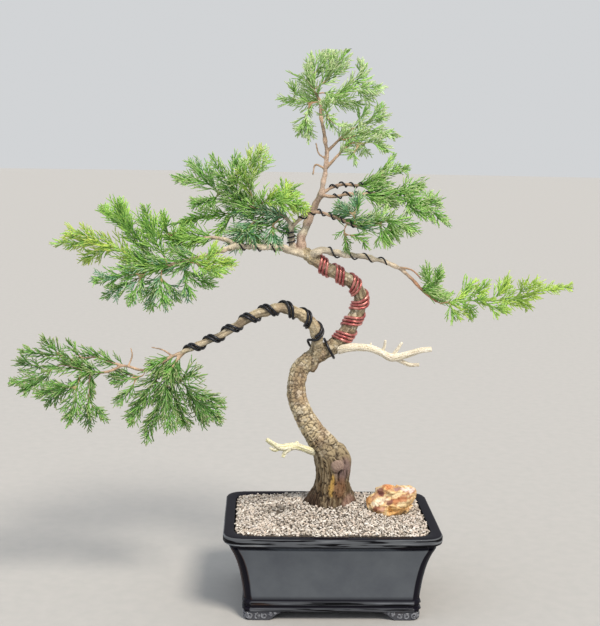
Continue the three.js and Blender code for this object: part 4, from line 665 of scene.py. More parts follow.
# Scaly juniper bark: tan and grey plates over reddish brown, dark in the cracks, matt
bark, tree, shader, where = newMaterial("bark_scaly_juniper", {"Roughness": 0.9, "Specular IOR Level": 0.25})
painted = addNode(tree, "Attribute", {"attribute_name": "coat"})
fibre = addNode(tree, "TexNoise", inputs={"Vector": where, "Scale": 900.0, "Detail": 4.0, "Roughness": 0.65})
flake = addNode(tree, "TexVoronoi", inputs={"Vector": where, "Scale": 420.0})
dust = addNode(tree, "ValToRGB", {"stops": ((0.3, "#a09a94"), (0.7, "#ffffff"))}, {"Fac": fibre})
dusted = addNode(tree, "Mix", multiplied, {0: 0.85, 6: painted, 7: dust})
dress(tree, shader, dusted, addNode(tree, "Math", {"operation": "ADD"}, {0: fibre, 1: flake}), (0.5, 0.0006))
showMesh("live_wood", woodMesh, bark, ["trunk_and_branches"])
print("stage: live wood", len(woodMesh.polygons))


# Deadwood stubs
jins = {
    "jin_right": {
        "slot": "deadwood", "voxel": 0.55, "grain": 0.34,
        "tones": {"light": "#fcf8ea", "mid": "#f0e8d0", "dark": "#ab9170"}, "parts": [
            [(8, 24, 301, 6), (18, 20, 304, 5.5), (31, 18, 305, 4.8), (47, 16, 304, 4.4), (60, 14, 299, 4.3),
                (72, 12, 294, 5), (87, 10, 297, 4.3), (103, 7, 303, 3.5), (119, 4, 306, 3.1)],
            [(74, 12, 295, 3.8), (85, 13, 289, 2.8), (94, 14, 285, 2.5), (106, 15, 285, 2.3)],
            [(60, 14, 299, 2.4), (63, 13, 307, 1.9), (64, 12, 315, 1.6)],
            [(74, 12, 297, 2.6), (79, 11, 305, 2.1), (84, 10, 313, 1.7)],
            [(46, 16, 304, 2), (47, 16, 311, 1.3)]]},
    "jin_left": {
        "slot": "pale_deadwood", "voxel": 0.55, "grain": 0.55,
        "tones": {"light": "#fbfae6", "mid": "#e9e8bd", "dark": "#a09a68"}, "parts": [
            [(-10, 24, 173, 5), (-20, 20, 175, 4.8), (-29, 10, 180, 4.2), (-43, 2, 186, 4.2),
                (-53, -3, 186, 4.6), (-62, -8, 187, 4.1), (-70, -11, 192, 3.2), (-78, -14, 198, 2.4)],
            [(-50, -3, 184, 3.4), (-55, -4, 180, 3), (-58, -5, 174, 2.2)],
            [(-62, -8, 186, 3), (-68, -10, 184, 2.2), (-74, -12, 187, 1.4)],
            [(-40, 4, 186, 3), (-41, 3, 192, 1.8)]]},
}
for name, jin in jins.items():
    group = [measured(walk(part)) for part in jin["parts"]]
    mesh = tubes(name + "_stub", [line["rows"] for line in group], fused(jin["voxel"], 4))
    points, flat, radius = unrolled(mesh, group)
    groove = noiseAt(flat, (0.8, 0.8, 0.045), 0.8, 2.1, 3)
    ridge = np.abs(noiseAt(flat, (0.5, 0.5, 0.03)))
    moved(mesh, jin["grain"] * (groove * 1.5 - 1.6 * (1 - ramp(ridge, 0, 0.12))) * np.minimum(1, radius / 3))
    stain = toneTable(**jin["tones"])
    paint(mesh, "coat", layered(np.tile(stain["light"], (len(points), 1)), stain, (
        ("mid", ramp(groove, 0.15, -0.35)), ("dark", (1 - ramp(ridge, 0, 0.09)) * 0.75))))
    # Bleached barkless wood with fine grain lines, dry and matt
    deadwood = grained(
        jin["slot"] + "_bleached_bare", {"Roughness": 0.75, "Specular IOR Level": 0.3},
        "TexNoise", {"Scale": 700.0, "Detail": 3.0}, ((0.3, "#c4b8a6"), (0.65, "#ffffff")),
        (0.25, 0.0005), "coat", 0.8)
    showMesh(name + "_stub", mesh, deadwood, [name])
print("stage: deadwood")


# Training wires, wound round the limbs: nodes side by side, limb, start and end on it, turns, first angle
wireGap = 0.25
wires = [
    {"slot": "red_wire", "radius": 1.6, "sets": [
        (["red_wire_1", "red_wire_2", "red_wire_3"], "bend", 0.3, 0.9, 5.5, 1.7)]},
    {"slot": "black_wire", "radius": 1.6, "sets": [
        (["black_wire_1", "black_wire_2"], "low", 0.2, 0.975, 7.5, math.pi - 0.3)],
        "lead": [
            (-3, 38.4, 302), (-7, 34.5, 309.8), (-9, 26, 313.6), (-7, 17, 310), (-3, 13.4, 302),
            (1.5, 17.2, 294.3), (3, 26, 290.4), (0, 35, 293), (-8, 38.4, 296.5), (-18, 37, 300),
            (-25, 29, 304), (-28, 21, 309), (-29, 14, 314)]},
    {"slot": "black_wire", "radius": 0.95, "sets": [
        (["thin_wire_left"], "left", 0.36, 0.86, 2.6, 0), (["thin_wire_right"], "right", 0.12, 0.55, 3.6, 0),
        (["thin_wire_riser"], "riser", 0.13, 0.26, 2.6, 0),
        (["thin_wire_front_twig"], "eastLow", 0.14, 0.93, 6.5, 0),
        (["thin_wire_rear_twig"], "eastUpA", 0.22, 0.95, 4, 0),
        (["thin_wire_mid_twig"], "eastUpB", 0.16, 0.93, 4.5, 0)]},
]


def winding(line, start, end, turns, first, radius, shift):
    share = np.linspace(0, 1, math.ceil(turns * 28) + 1)
    total = line["length"][-1]
    where = np.clip((start + (end - start) * share) * total + shift, 0, total)
    rows, back, side = sampled(line, where, "rows", "back", "side")
    angle = (first + 2 * math.pi * turns * share)[:, None]
    reach = rows[:, 3:] + radius + wireGap
    centre = rows[:, :3] + (back * np.cos(angle) + side * np.sin(angle)) * reach
    return np.hstack([centre, np.full((len(share), 1), radius)])


# Anodised copper red and black aluminium wire, satin bright
finish = {
    slot: grained(
        slot + "_anodised_aluminium", {"Metallic": 0.5, "Roughness": rough}, "TexNoise",
        {"Scale": 160.0, "Detail": 3.0}, ((0.35, dark), (0.7, light)), (0.08, 0.0005))
    for slot, light, dark, rough in (
        ("red_wire", "#d8968c", "#9c484b", 0.28), ("black_wire", "#34363e", "#1b1c21", 0.34))
}
for wire in wires:
    for names, limb, start, end, turns, first in wire["sets"]:
        line = lines[limb]
        total = line["length"][-1]
        inner = np.interp(start * total, line["length"], line["rows"][:, 3])
        lean = math.cos(math.atan2((end - start) * total / turns, 2 * math.pi * (inner + wire["radius"])))
        for strand, name in enumerate(names):
            shift = (strand - (len(names) - 1) / 2) * (2 * wire["radius"] + 1) / lean
            rows = winding(line, start, end, turns, first, wire["radius"], shift)
            if strand == 0 and "lead" in wire:
                lead = [(*point, wire["radius"]) for point in wire["lead"]]
                rows = np.vstack([walk(lead + [tuple(rows[0])], 8)[:-1], rows])
            mesh = tubes(name + "_wound", [rows], resolution=3 if wire["radius"] > 1 else 2)
            showMesh(name + "_wound", mesh, finish[wire["slot"]], [name])
print("stage: wires")


# Rock: banded jasper-like stone with orange edges, a white patch and purple-brown streaks
rockShape = {
    "voxel": 1.0, "middle": (75, 8, 116),
    "swells": [  # across and up as the front sees it from the middle, reach, amount outward, all in mm
        (24, 11, 10, 5.0), (12, 23, 8, -4.0), (-6, 18, 6, 1.5), (25, -9, 9, -3.5)],
    "patches": [  # across, up, half length, half height, tilt in degrees, colour, share
        (5, -12, 15, 5.5, 0, "#e6b468", 0.8), (-27, 1, 3.5, 6, 0, "#d59a50", 0.8),
        (-16, -1, 9.5, 4.8, 26, "#f7f1dc", 0.95), (10, 1.5, 12, 3.6, 14, "#bd6a44", 0.85),
        (-1.5, -1.8, 5.5, 4.4, 0, "#74464c", 0.9), (-12, 11.5, 5, 5, 30, "#8c4f55", 0.9),
        (-3.5, 17, 6.5, 3.2, -8, "#d58656", 0.85), (9, 15.5, 6.5, 2.6, -6, "#8f6c7c", 0.85),
        (19, 12, 7, 3, -28, "#ecdfe6", 0.9), (-18, -10, 4.5, 3.2, 12, "#874138", 0.9),
        (-11, -11, 5, 3, 14, "#cf9a92", 0.8)],
}
rockMesh = baked("rock_striped", toMesh("rock_striped", copyOf("rock")), fused(rockShape["voxel"], 5))
rockPoints = localRows(rockMesh) - rockShape["middle"]
front = rockPoints[:, ::2] + rockPoints[:, 1:2] * [-0.108, 0.304]
relief = np.empty(len(rockPoints))
for i, p in enumerate(rockPoints):
    spot = Vector(p) * 0.058
    distances, cells = noise.voronoi(spot + noise.noise_vector(spot * 2) * 0.08)
    slab = (spot - cells[0]).dot(noise.noise_vector(cells[0] * 3.1).normalized())
    seam = 1 - ramp(distances[1] - distances[0], 0, 0.06)
    layer = noise.noise(Vector((p[0] * 0.05, p[1] * 0.05, p[2] * 0.3)))
    relief[i] = 5.0 * slab + 1.2 * layer + 0.4 * noise.fractal(spot * 4, 0.8, 2.1, 3) - 0.7 * seam - 0.5
for across, rise, reach, amount in rockShape["swells"]:
    relief += amount * np.exp(-np.sum((front - [across, rise]) ** 2, axis=1) / reach**2)
moved(rockMesh, relief)
broken = noiseAt(rockPoints, 0.22, 0.8, 2.1, 4)
facing = ramp(-rockPoints[:, 1], -9, 0)
patchTone = np.tile(linear("#efdcae")[:3], (len(rockPoints), 1))
patchShare = 0.3 * facing
for across, rise, long, tall, tilt, code, share in rockShape["patches"]:
    turn = math.radians(tilt)
    offset = (front - [across, rise]) @ [[math.cos(turn), -math.sin(turn)], [math.sin(turn), math.cos(turn)]]
    inside = 1 - ramp(np.linalg.norm(offset / [long, tall], axis=1) + broken * 0.55, 0.8, 1.15)
    inside = inside * share * facing
    patchTone = blend(patchTone, np.array(linear(code)[:3]), inside)
    patchShare = np.maximum(patchShare, inside)
paint(rockMesh, "patches", patchTone, patchShare)

# Rough banded stone, creamy with ochre, white blotches and rust veins, under the painted patches
stone, tree, shader, where = newMaterial("rock_rough_jasper", {"Roughness": 0.7, "Specular IOR Level": 0.4})
centred = addNode(tree, "Mapping", inputs={
    "Vector": where, "Location": -place(*rockShape["middle"]), "Rotation": (0.35, 0.5, 0.1)})
warp = addNode(tree, "TexNoise", inputs={"Vector": centred, "Scale": 38.0, "Detail": 3.0})
bands = addNode(tree, "TexWave", {"bands_direction": "Z"}, {
    "Vector": centred, "Scale": 20.0, "Distortion": 8.0, "Detail": 3.0, "Detail Scale": 1.6})
blotch = addNode(tree, "TexNoise", inputs={"Vector": centred, "Scale": 42.0, "Detail": 5.0, "Roughness": 0.6})
vein = addNode(tree, "TexNoise", inputs={
    "Vector": centred, "Scale": 31.0, "Detail": 5.0, "Roughness": 0.6, "Distortion": 1.2})
surface = addNode(
    tree, "ValToRGB", {"stops": ((0.05, "#a5685a"), (0.2, "#cf9b6c"), (0.38, "#ebd0a0"), (0.85, "#f3e3bf"))},
    {"Fac": bands.outputs["Fac"]})
for source, code, marks in (
    (warp, "#e8bc78", ((0.47, "#000000"), (0.6, "#ffffff"))),
    (blotch, "#f6efe6", ((0.56, "#000000"), (0.63, "#ffffff"))),
    (vein, "#9a584b", ((0.45, "#000000"), (0.475, "#8c8c8c"), (0.49, "#8c8c8c"), (0.515, "#000000"))),
):
    mask = addNode(tree, "ValToRGB", {"stops": marks}, {"Fac": source})
    surface = addNode(tree, "Mix", mixed, {0: mask, 6: surface, 7: linear(code)})
patches = addNode(tree, "Attribute", {"attribute_name": "patches"})
stained = addNode(tree, "Mix", mixed, {0: patches.outputs["Alpha"], 6: surface, 7: patches})
fine = addNode(tree, "TexNoise", inputs={"Vector": centred, "Scale": 260.0, "Detail": 4.0, "Roughness": 0.65})
mottle = addNode(tree, "ValToRGB", {
    "stops": ((0.34, "#b58d78"), (0.5, "#f6efe4"), (0.7, "#ffffff"))}, {"Fac": fine})
dress(tree, shader, addNode(tree, "Mix", multiplied, {0: 0.8, 6: stained, 7: mottle}), fine, (0.45, 0.001))
showMesh("rock_striped", rockMesh, stone, ["rock"])
print("stage: rock", len(rockMesh.polygons))


# Copies of a small template, laid out by arrays and joined into one mesh
def templateArrays(mesh):
    points = np.array([v.co[:] for v in mesh.verts], float)
    loops = [[v.index for v in face.verts] for face in mesh.faces]
    mesh.free()
    return points, loops


def joined(name, parts):  # parts are (points, loops) with points of shape (copies, n, 3)
    allLoops = []
    sizes = []
    offset = 0
    for points, loops in parts:
        copies, count, _ = points.shape
        steps = offset + np.arange(copies)[:, None] * count
        allLoops.append((np.concatenate([np.array(loop) for loop in loops])[None, :] + steps).ravel())
        sizes.append(np.tile([len(loop) for loop in loops], copies))
        offset += copies * count
    corners = np.concatenate(allLoops).astype(np.int32)
    sizes = np.concatenate(sizes)
    mesh = bpy.data.meshes.new(name)
    mesh.vertices.add(offset)
    spots = np.vstack([part[0].reshape(-1, 3) for part in parts])
    mesh.vertices.foreach_set("co", spots.astype(np.float32).ravel())
    mesh.loops.add(len(corners))
    mesh.loops.foreach_set("vertex_index", corners)
    mesh.polygons.add(len(sizes))
    mesh.polygons.foreach_set("loop_start", (np.cumsum(sizes) - sizes).astype(np.int32))
    mesh.update(calc_edges=True)
    return mesh


# Gravel: broken cream and pinkish grains laid on the bed, in mm
grainShape = {
    "pitch": 4.1, "jitter": 0.42, "rows": 2, "seed": 11, "variants": 10, "facet": 0.62, "size": (2.1, 3.9),
    "big": 0.05, "bigger": 1.45, "pit": (-62, 5), "pitRadius": 4.5, "margin": 12.5, "round": 18,
    "stones": [  # x, y and size of single larger ones
        (-58, 14, 4.2), (-49, 11, 2.8), (-96, 22, 3.1), (-24, -18, 3.0), (30, -40, 2.9), (58, -58, 3.0),
        (-10, -52, 2.8)],
    "tones": [
        "#e0dbd3", "#d5cec5", "#ece8e1", "#cdc4ba", "#e0d7cf", "#d9d3cd", "#f3efea", "#b9b0a6", "#dccfc4",
        "#9c948b"],
}
rng = np.random.default_rng(grainShape["seed"])
bed = copyOf("gravel")
bedTree = BVHTree.FromBMesh(bed)
bed.free()
woodTree, rockTree = treeOf(woodMesh), treeOf(rockMesh)
variants = []
for _ in range(grainShape["variants"]):
    chip = bmesh.new()
    bmesh.ops.create_icosphere(chip, subdivisions=1, radius=1)
    for v in chip.verts:
        v.co *= 1 + 0.5 * (rng.random() - 0.55)
    for _ in range(3):
        facet = Vector(rng.normal(size=3)).normalized()
        for v in chip.verts:
            over = v.co.dot(facet) - grainShape["facet"]
            if over > 0:
                v.co -= facet * over
    variants.append(templateArrays(chip))


def bedAt(x, y):
    return bedTree.ray_cast(place(x, y, 140), -up)[0]


pitX, pitY = grainShape["pit"]
pitch, jitter, corner = (grainShape[key] for key in ("pitch", "jitter", "round"))
halfX, halfY = lipX - grainShape["margin"], lipY - grainShape["margin"]
nx, ny = int(2 * halfX / pitch), int(2 * halfY / pitch)
seats = []
for layer, i, j in np.ndindex(grainShape["rows"], nx + 1, ny + 1):
    x = -halfX + (i + 0.5 * layer + rng.uniform(-jitter, jitter)) * pitch
    y = -halfY + (j + 0.5 * layer + rng.uniform(-jitter, jitter)) * pitch
    hit = bedAt(x, y)
    if hit is None:
        continue
    big = rng.random() < grainShape["big"]
    size = rng.uniform(*grainShape["size"]) * (grainShape["bigger"] if big else 1) * 0.5
    inX, inY = halfX - abs(x), halfY + bow * (1 - (x / 108) ** 2) - abs(y)
    outside = math.hypot(max(0, abs(x) - (halfX - corner)), max(0, abs(y) - (halfY - corner)))
    if min(inX, inY, corner - outside) < size * 0.75:
        continue
    spot = hit + up * (size * rng.uniform(0.1, 0.6) + layer * 0.9) * mm
    if woodTree.find_nearest(spot)[3] < size * 0.8 * mm or rockTree.find_nearest(spot)[3] < size * 0.9 * mm:
        continue
    if math.hypot(x - pitX, y - pitY) > grainShape["pitRadius"]:
        seats.append((spot, size, rng.integers(grainShape["variants"])))
for x, y, size in grainShape["stones"]:
    seats.append((bedAt(x, y) + up * size * 0.6 * mm, size, rng.integers(grainShape["variants"])))
parts = []
shades = []
grainTones = [np.array(linear(code)[:3]) for code in grainShape["tones"]]
for k, (points, loops) in enumerate(variants):
    copies = []
    for spot, size, _ in (seat for seat in seats if seat[2] == k):
        turn = Matrix.Rotation(rng.uniform(0, 6.28), 3, "Z")
        for axis in "XY":
            turn = turn @ Matrix.Rotation(rng.normal(0, 0.5), 3, axis)
        shape = size * np.array([rng.uniform(1.1, 1.8), rng.uniform(0.65, 1.0), rng.uniform(0.55, 0.9)]) * mm
        copies.append((points * shape) @ np.array(turn).T + np.array(spot))
        colour = grainTones[rng.integers(len(grainTones))] * rng.uniform(0.86, 1.14)
        x, y, _ = (spot - potMiddle) / mm
        # Painted shade in the hollow round the pit, where the grains are also greyer; the grains also darken
        # towards the back and lighten towards the front
        away = math.hypot((x - pitX) * 0.7, y - pitY - 6)
        colour = colour * (1 - 0.32 * (1 - ramp(away, 6, 24)))
        colour = colour * (1 - 0.2 * ramp(y, 20, 70)) * (1 + 0.07 * ramp(-y, 30, 80))
        shades.append(np.tile(colour, (len(points), 1)))
    parts.append((np.array(copies), loops))
gravelMesh = joined("gravel_grains", parts)
paint(gravelMesh, "tone", np.vstack(shades))

# Broken mineral grains, chalky with a faint sparkle
grit = grained(
    "gravel_crushed_stone", {"Roughness": 0.8, "Specular IOR Level": 0.35}, "TexNoise",
    {"Scale": 620.0, "Detail": 3.0}, ((0.3, "#c4bab0"), (0.6, "#ffffff")), (0.3, 0.0005), "tone", 0.7)
showMesh("gravel_grains", gravelMesh, grit, smooth=False)
# The bed under the grains is the same stone in shadow; crumbly dark soil; dull moulded plastic
for name, scale, low, high, roughness, nodes in (
    ("gravel_bed_crushed_stone", 300.0, "#3b352f", "#776c61", 0.95, ["gravel"]),
    ("soil_baked_clay_mix", 220.0, "#2a1e16", "#5b4433", 0.97, ["soil"]),
    ("mesh_screen_moulded_plastic", 150.0, "#242e28", "#37433a", 0.5,
     ["drain_screen_left", "drain_screen_right"]),
):
    plain = grained(
        name, {"Roughness": roughness}, "TexNoise", {"Scale": scale, "Detail": 4.0},
        ((0.35, low), (0.65, high)), (0.4, 0.001))
    for node in nodes:
        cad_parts[node].data.materials.clear()
        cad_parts[node].data.materials.append(plain)
print("stage: gravel", len(gravelMesh.polygons))


# Foliage: each CAD shoot keeps its core, and its branchlets become sprays of fine scale-leaved threads
leafShape = {
    "radius": 0.74, "sides": 5, "spread": 0.54, "stretch": 1.68, "seed": 5, "twigSeed": 900, "lift": 0.08,
    "forward": 0.18, "swept": 0.15,
    # In metres: shortest edges of an apex and of a shoot, the root's shift, bare stretch, side threads
    "apexEdge": 0.0022, "sideEdge": 0.003, "rooted": 0.0014, "bareNear": 0.006, "sideReach": (0.004, 0.016),
}
palette = toneTable(
    deep="#4a8243", mid="#83bd59", light="#a9da74", soft="#c4e4a2", lime="#cbe973", blue="#7fb58a",
    moss="#76aa57", darkMoss="#42703c", yellow="#e9e27e", tip="#e9e6c8", tan="#d9cdab", brown="#b58a66",
    pink="#dcbfa4")
# The inner colour is painted shade deep in the plume, laid on the base of the threads
plumes = [  # name start, inner, outer and tip colour, share of a second outer colour, it, reach, bare share
    ("apex", "moss", "soft", "tip", 0.4, "light", 1.0, 0.84),
    ("crown", "moss", "soft", "tip", 0.4, "light", 0.95, 0.92),
    ("west_right", "mid", "light", "lime", 0.4, "lime", 1.0, 0.4),
    ("west_fan", "deep", "blue", "tip", 0.35, "mid", 1.15, 0.4),
    ("west_low", "deep", "mid", "lime", 0.4, "light", 1.0, 0.7),
    ("west_up", "deep", "light", "tip", 0.5, "lime", 1.0, 0.75),
    ("west", "deep", "mid", "tip", 0.4, "light", 1.0, 0.76),
    ("left_far", "mid", "lime", "yellow", 0.45, "light", 1.0, 0.7),
    ("left_inner", "mid", "lime", "lime", 0.55, "light", 0.95, 0.76),
    ("left_drop", "deep", "mid", "tip", 0.25, "blue", 0.86, 0.72),
    ("left_high", "deep", "light", "lime", 0.4, "mid", 0.84, 0.72),
    ("left", "deep", "light", "lime", 0.4, "mid", 1.0, 0.76),
    ("east_bluish", "deep", "blue", "tip", 0.4, "mid", 1.1, 0.55),
    ("east_high", "deep", "light", "tip", 0.4, "mid", 0.62, 0.9),
    ("east_f", "deep", "light", "tip", 0.4, "mid", 1.1, 0.5),
    ("east_drop", "deep", "mid", "tan", 0.3, "moss", 1.0, 0.9),
    ("east", "deep", "light", "tip", 0.35, "mid", 1.0, 0.6),
    ("tail_crest", "mid", "light", "tip", 0.4, "mid", 1.0, 0.5),
    ("tail", "mid", "light", "lime", 0.4, "lime", 0.95, 0.82),
    ("far_left", "darkMoss", "moss", "tan", 0.4, "mid", 0.86, 0.86),
    ("far_up", "darkMoss", "moss", "tan", 0.4, "mid", 0.75, 0.9),
    ("far", "darkMoss", "moss", "tan", 0.4, "mid", 1.0, 0.84),
    ("near_left", "darkMoss", "moss", "tan", 0.3, "mid", 0.85, 0.94),
    ("near", "darkMoss", "moss", "tan", 0.3, "mid", 1.0, 0.76),
]
# One thread: three sides and two rings up to its point
cone = bmesh.new()
bmesh.ops.create_cone(
    cone, cap_ends=True, segments=3, radius1=1, radius2=0, depth=1, matrix=Matrix.Translation((0, 0, 0.5)))
for level in (0.45, 0.88):
    everything = cone.verts[:] + cone.edges[:] + cone.faces[:]
    bmesh.ops.bisect_plane(cone, geom=everything, plane_co=(0, 0, level), plane_no=(0, 0, 1))
for v in cone.verts:
    width, turn = {0.0: (0.85, 0), 0.45: (1.0, 0.6), 0.88: (0.85, 1.2)}.get(round(v.co.z, 2), (0, 0))
    flat = math.hypot(v.co.x, v.co.y)
    if flat > 1e-6:
        v.co = Matrix.Rotation(turn, 3, "Z") @ Vector((v.co.x / flat * width, v.co.y / flat * width, v.co.z))
threadPoints, threadLoops = templateArrays(cone)


def threads(start, direction, length, bend, radius):  # arrays of (copies, n, 3)
    t = threadPoints[:, 2]
    e1 = unit(np.cross(direction, [0.31, 0.83, 0.46]))
    e2 = np.cross(direction, e1)
    reach = length[:, None, None]
    points = start[:, None, :] + direction[:, None, :] * t[None, :, None] * reach
    points = points + bend[:, None, :] * (t**2)[None, :, None] * reach
    for k, side in enumerate((e1, e2)):
        points = points + side[:, None, :] * threadPoints[:, k][None, :, None] * radius[:, None, None]
    return points


# Waxy scale leaves pressed to the shoot, each with a lighter edge
leaf = grained(
    "foliage_scale_leaf", {"Roughness": 0.55, "Specular IOR Level": 0.35}, "TexVoronoi", {"Scale": 700.0},
    ((0.1, "#b8b8b0"), (0.6, "#ffffff")), painted="tone", share=0.6)


def plumeOf(name):  # the first row that the name starts with
    keys = ("inner", "outer", "tip", "share", "second", "reach", "bare")
    row = next(row for row in plumes if name.startswith(row[0]))
    return {key: palette.get(value, value) for key, value in zip(keys, row[1:])}


def sprayArrays(name, start, head, forward, length, rng):  # main threads with side threads, and colours
    plume = plumeOf(name)
    count = len(length)
    lift = np.array([0, 0, 1]) * leafShape["lift"]
    head = unit(head + forward * leafShape["swept"])
    bend = forward * leafShape["forward"] + lift * rng.uniform(0, 1.6, (count, 1))
    bend = bend + rng.normal(0, 0.07, (count, 3))
    rows = [(start, head, length, bend, np.full(count, leafShape["radius"]), np.zeros(count))]
    plane = unit(np.cross(head, rng.normal(0, 1, (count, 3))))
    sideways = unit(np.cross(head, plane))
    for k in range(leafShape["sides"]):
        t = (k + 1.0 + rng.uniform(-0.3, 0.3, count)) / (leafShape["sides"] + 0.7)
        at = start + (head * t[:, None] + bend * (t**2)[:, None]) * length[:, None]
        axis = unit(head + 2 * bend * t[:, None])
        angle = leafShape["spread"] * rng.uniform(0.7, 1.25, count)
        swing = rng.uniform(-0.45, 0.45, count)
        aside = sideways * np.cos(swing)[:, None] + plane * np.sin(swing)[:, None]
        direction = unit(axis * np.cos(angle)[:, None] + aside * ((-1.0) ** k * np.sin(angle))[:, None])
        reach = (0.55 * length * (1 - t) ** 0.7 + 0.0035) * rng.uniform(0.8, 1.2, count)
        curl = axis * 0.16 + lift * rng.uniform(-0.3, 1.4, (count, 1)) + rng.normal(0, 0.05, (count, 3))
        radius = np.full(count, leafShape["radius"] * 0.9)
        rows.append((at, direction, np.clip(reach, *leafShape["sideReach"]), curl, radius, t))
    at, direction, reach, curl, radius, t = [np.concatenate([row[k] for row in rows]) for k in range(6)]
    points = threads(at, direction, reach, curl, radius * mm)
    points = np.clip(points, np.array(cadBox[0]) + 1e-5, np.array(cadBox[1]) - 1e-5)
    copies = len(points)
    spray = np.tile(np.arange(count), leafShape["sides"] + 1)
    main = np.where((rng.random(count)[spray] < plume["share"])[:, None], plume["second"], plume["outer"])
    if name.startswith("tail"):
        main = blend(main, palette["lime"], ramp(start[:, 0], 0.21, 0.27)[spray] * 0.8)
    main = main * rng.uniform(0.78, 1.15, (count, 1))[spray] * rng.uniform(0.85, 1.15, (copies, 1))
    # Painted shade: the base of each thread takes the plume's inner colour, most on main threads and side
    # threads nearest their start
    basal = blend(main, plume["inner"], 0.1 + 0.4 * (1 - ramp(t, 0.0, 0.75)))
    step = threadPoints[:, 2]
    tones = basal[:, None, :] + (main - basal)[:, None, :] * ramp(step, 0.0, 0.6)[None, :, None]
    ends = ramp(step, 0.7, 1.0)[None, :, None] * (rng.random(copies) < 0.75)[:, None, None] * 0.8
    return points, tones + (plume["tip"] - tones) * ends


def showSprays(name, parts, tones, replaced=()):  # returns the number of triangles
    mesh = joined(name, parts)
    paint(mesh, "tone", tones)
    showMesh(name, mesh, leaf, replaced)
    mesh.calc_loop_triangles()
    return len(mesh.loop_triangles)


total = 0
for name in sorted(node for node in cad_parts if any(node.startswith(row[0]) for row in plumes)):
    rng = np.random.default_rng(leafShape["seed"] + len(name) * 97 + ord(name[-1]))
    plume = plumeOf(name)
    core = copyOf(name)
    found = []  # start, direction, shoot's direction and length of each main thread
    apexes = [v for v in core.verts if len(v.link_faces) == 4 and len(v.link_edges) == 4
              and min(edge.calc_length() for edge in v.link_edges) > leafShape["apexEdge"]]
    for v in apexes:
        foot = sum((edge.other_vert(v).co for edge in v.link_edges), Vector()) / 4
        head = v.co - foot
        around = (edge for face in v.link_faces for edge in face.edges if v not in edge.verts)
        longest = max(around, key=lambda edge: edge.calc_length())
        forward = (longest.verts[1].co - longest.verts[0].co).normalized()
        if longest.calc_length() < leafShape["sideEdge"]:
            forward = head.normalized()
        found.append((foot, head.normalized(), forward if forward.dot(head) > 0 else -forward, head.length))
    bmesh.ops.dissolve_verts(core, verts=apexes)
    root = min(core.faces, key=lambda face: woodTree.find_nearest(face.calc_center_median())[3])
    bmesh.ops.translate(core, vec=root.normal * leafShape["rooted"], verts=root.verts)
    apexAt = np.array([row[0][:] for row in found])
    for face in core.faces:
        middle = face.calc_center_median()
        gaps = np.linalg.norm(apexAt - np.array(middle), axis=1)
        _, _, forward, length = found[int(gaps.argmin())]
        if face.calc_area() < 2e-6 or gaps.min() < 1e-4 or rng.random() < plume["bare"]:
            continue
        if woodTree.find_nearest(middle)[3] < leafShape["bareNear"]:
            continue
        slant = rng.uniform(0.45, 1.05)
        head = forward * math.cos(slant) + face.normal * math.sin(slant)
        head = (head + forward.cross(face.normal) * rng.uniform(-0.55, 0.55)).normalized()
        found.append((middle, head, forward, length * rng.uniform(0.75, 1.15)))
    start, head, forward = (np.array([row[k][:] for row in found]) for k in range(3))
    length = np.array([row[3] for row in found]) * leafShape["stretch"] * plume["reach"]
    length = length * rng.uniform(0.8, 1.2, len(found))
    points, tones = sprayArrays(name, start - unit(head - forward * 0.7) * 0.0004, head, forward, length, rng)
    stem = baked(name, toMesh(name, core), [("SUBSURF", {"levels": 1})])
    stemPoints = rowsOf(stem)
    stemLoops = [list(p.vertices) for p in stem.polygons]
    distance = np.array([woodTree.find_nearest(Vector(p))[3] for p in stemPoints])
    stemTone = np.tile(palette["brown"], (len(stemPoints), 1))
    stemTone = blend(stemTone, palette["pink"], rng.random(len(stemPoints)) * 0.5)
    green = plume["inner"] * 0.5 + plume["outer"] * 0.5
    stemTone = blend(stemTone, green, ramp(distance, 0.006, 0.03) * 0.85)
    parts = [(points, threadLoops), (stemPoints[None], stemLoops)]
    total += showSprays(name + "_spray", parts, np.vstack([tones.reshape(-1, 3), stemTone]), [name])
print("stage: foliage on shoots", total)

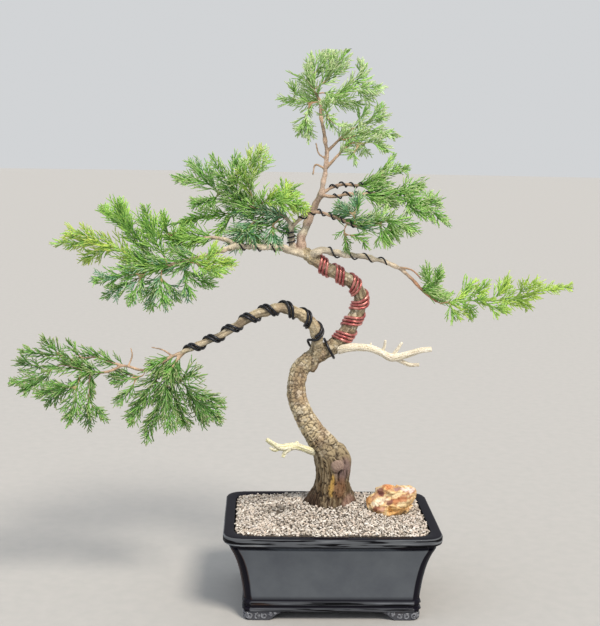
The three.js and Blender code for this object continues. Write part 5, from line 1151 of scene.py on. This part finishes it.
# Short sprays straight from the twigs, which close the plumes round them
twigSprays = [  # limb, start on it, sprays, longest in mm, colours of this shoot, pull on their direction
    ("leftLow", 0.4, 60, 28, "left_drop", (-0.2, 0, 0.1)),
    ("leftUp", 0.42, 44, 26, "left_crest", (-0.2, 0, -0.1)),
    ("leftLow", 0.7, 26, 38, "left_crest", (-0.9, 0, 0.2)),
    ("leader", 0.86, 26, 22, "apex", (0, 0, 0.3)),
    ("crownHigh", 0.6, 12, 18, "crown", (0.4, 0, 0.2)),
    ("crownLow", 0.6, 10, 16, "crown", (0.4, 0, 0)),
    ("riser", 0.6, 56, 27, "west_tip", (-0.1, 0, 0.1)),
    ("riser", 0.42, 46, 27, "west_fan", (0.15, 0, -0.35)),
    ("eastLow", 0.5, 42, 28, "east_bluish", (0.4, 0.4, 0.6)),
    ("eastUpA", 0.75, 30, 28, "east_far", (0.6, 0, 0.0)),
    ("eastUpB", 0.65, 46, 31, "east_far", (0.5, 0, -0.35)),
    ("right", 0.84, 38, 26, "tail_crest", (0.35, 0, 0.9)),
    ("lowWest", 0.5, 22, 19, "far", (-0.2, 0, -0.1)), ("lowFar", 0.3, 36, 21, "far", (-0.2, 0, 0)),
    ("lowHang", 0.1, 13, 20, "far", (-0.1, 0, -0.4)),
    ("lowForkA", 0.45, 20, 23, "near", (-0.1, 0, -0.5)),
    ("lowForkB", 0.35, 28, 25, "near", (0.25, 0, -0.5)),
]
for index, (limb, start, count, longest, name, pull) in enumerate(twigSprays):
    rng = np.random.default_rng(leafShape["twigSeed"] + index)
    line = lines[limb]
    at = rng.uniform(start, 1.0, count) * line["length"][-1]
    rows, axis, back, side = sampled(line, at, "rows", "tangent", "back", "side")
    turn = rng.uniform(0, 2 * math.pi, (count, 1))
    radial = back * np.cos(turn) + side * np.sin(turn)
    slant = rng.uniform(0.5, 1.1, (count, 1))
    head = unit(axis * np.cos(slant) + radial * np.sin(slant) + np.array(pull))
    foot = np.array(potMiddle) + (rows[:, :3] + radial * (rows[:, 3:] - 0.3)) * mm
    length = longest * mm * rng.uniform(0.55, 1.0, count)
    points, tones = sprayArrays(name, foot, head, unit(axis), length, rng)
    title = "twig_sprays_%02d_%s" % (index, limb)
    total += showSprays(title, [(points, threadLoops)], tones.reshape(-1, 3))
print("stage: foliage", total)
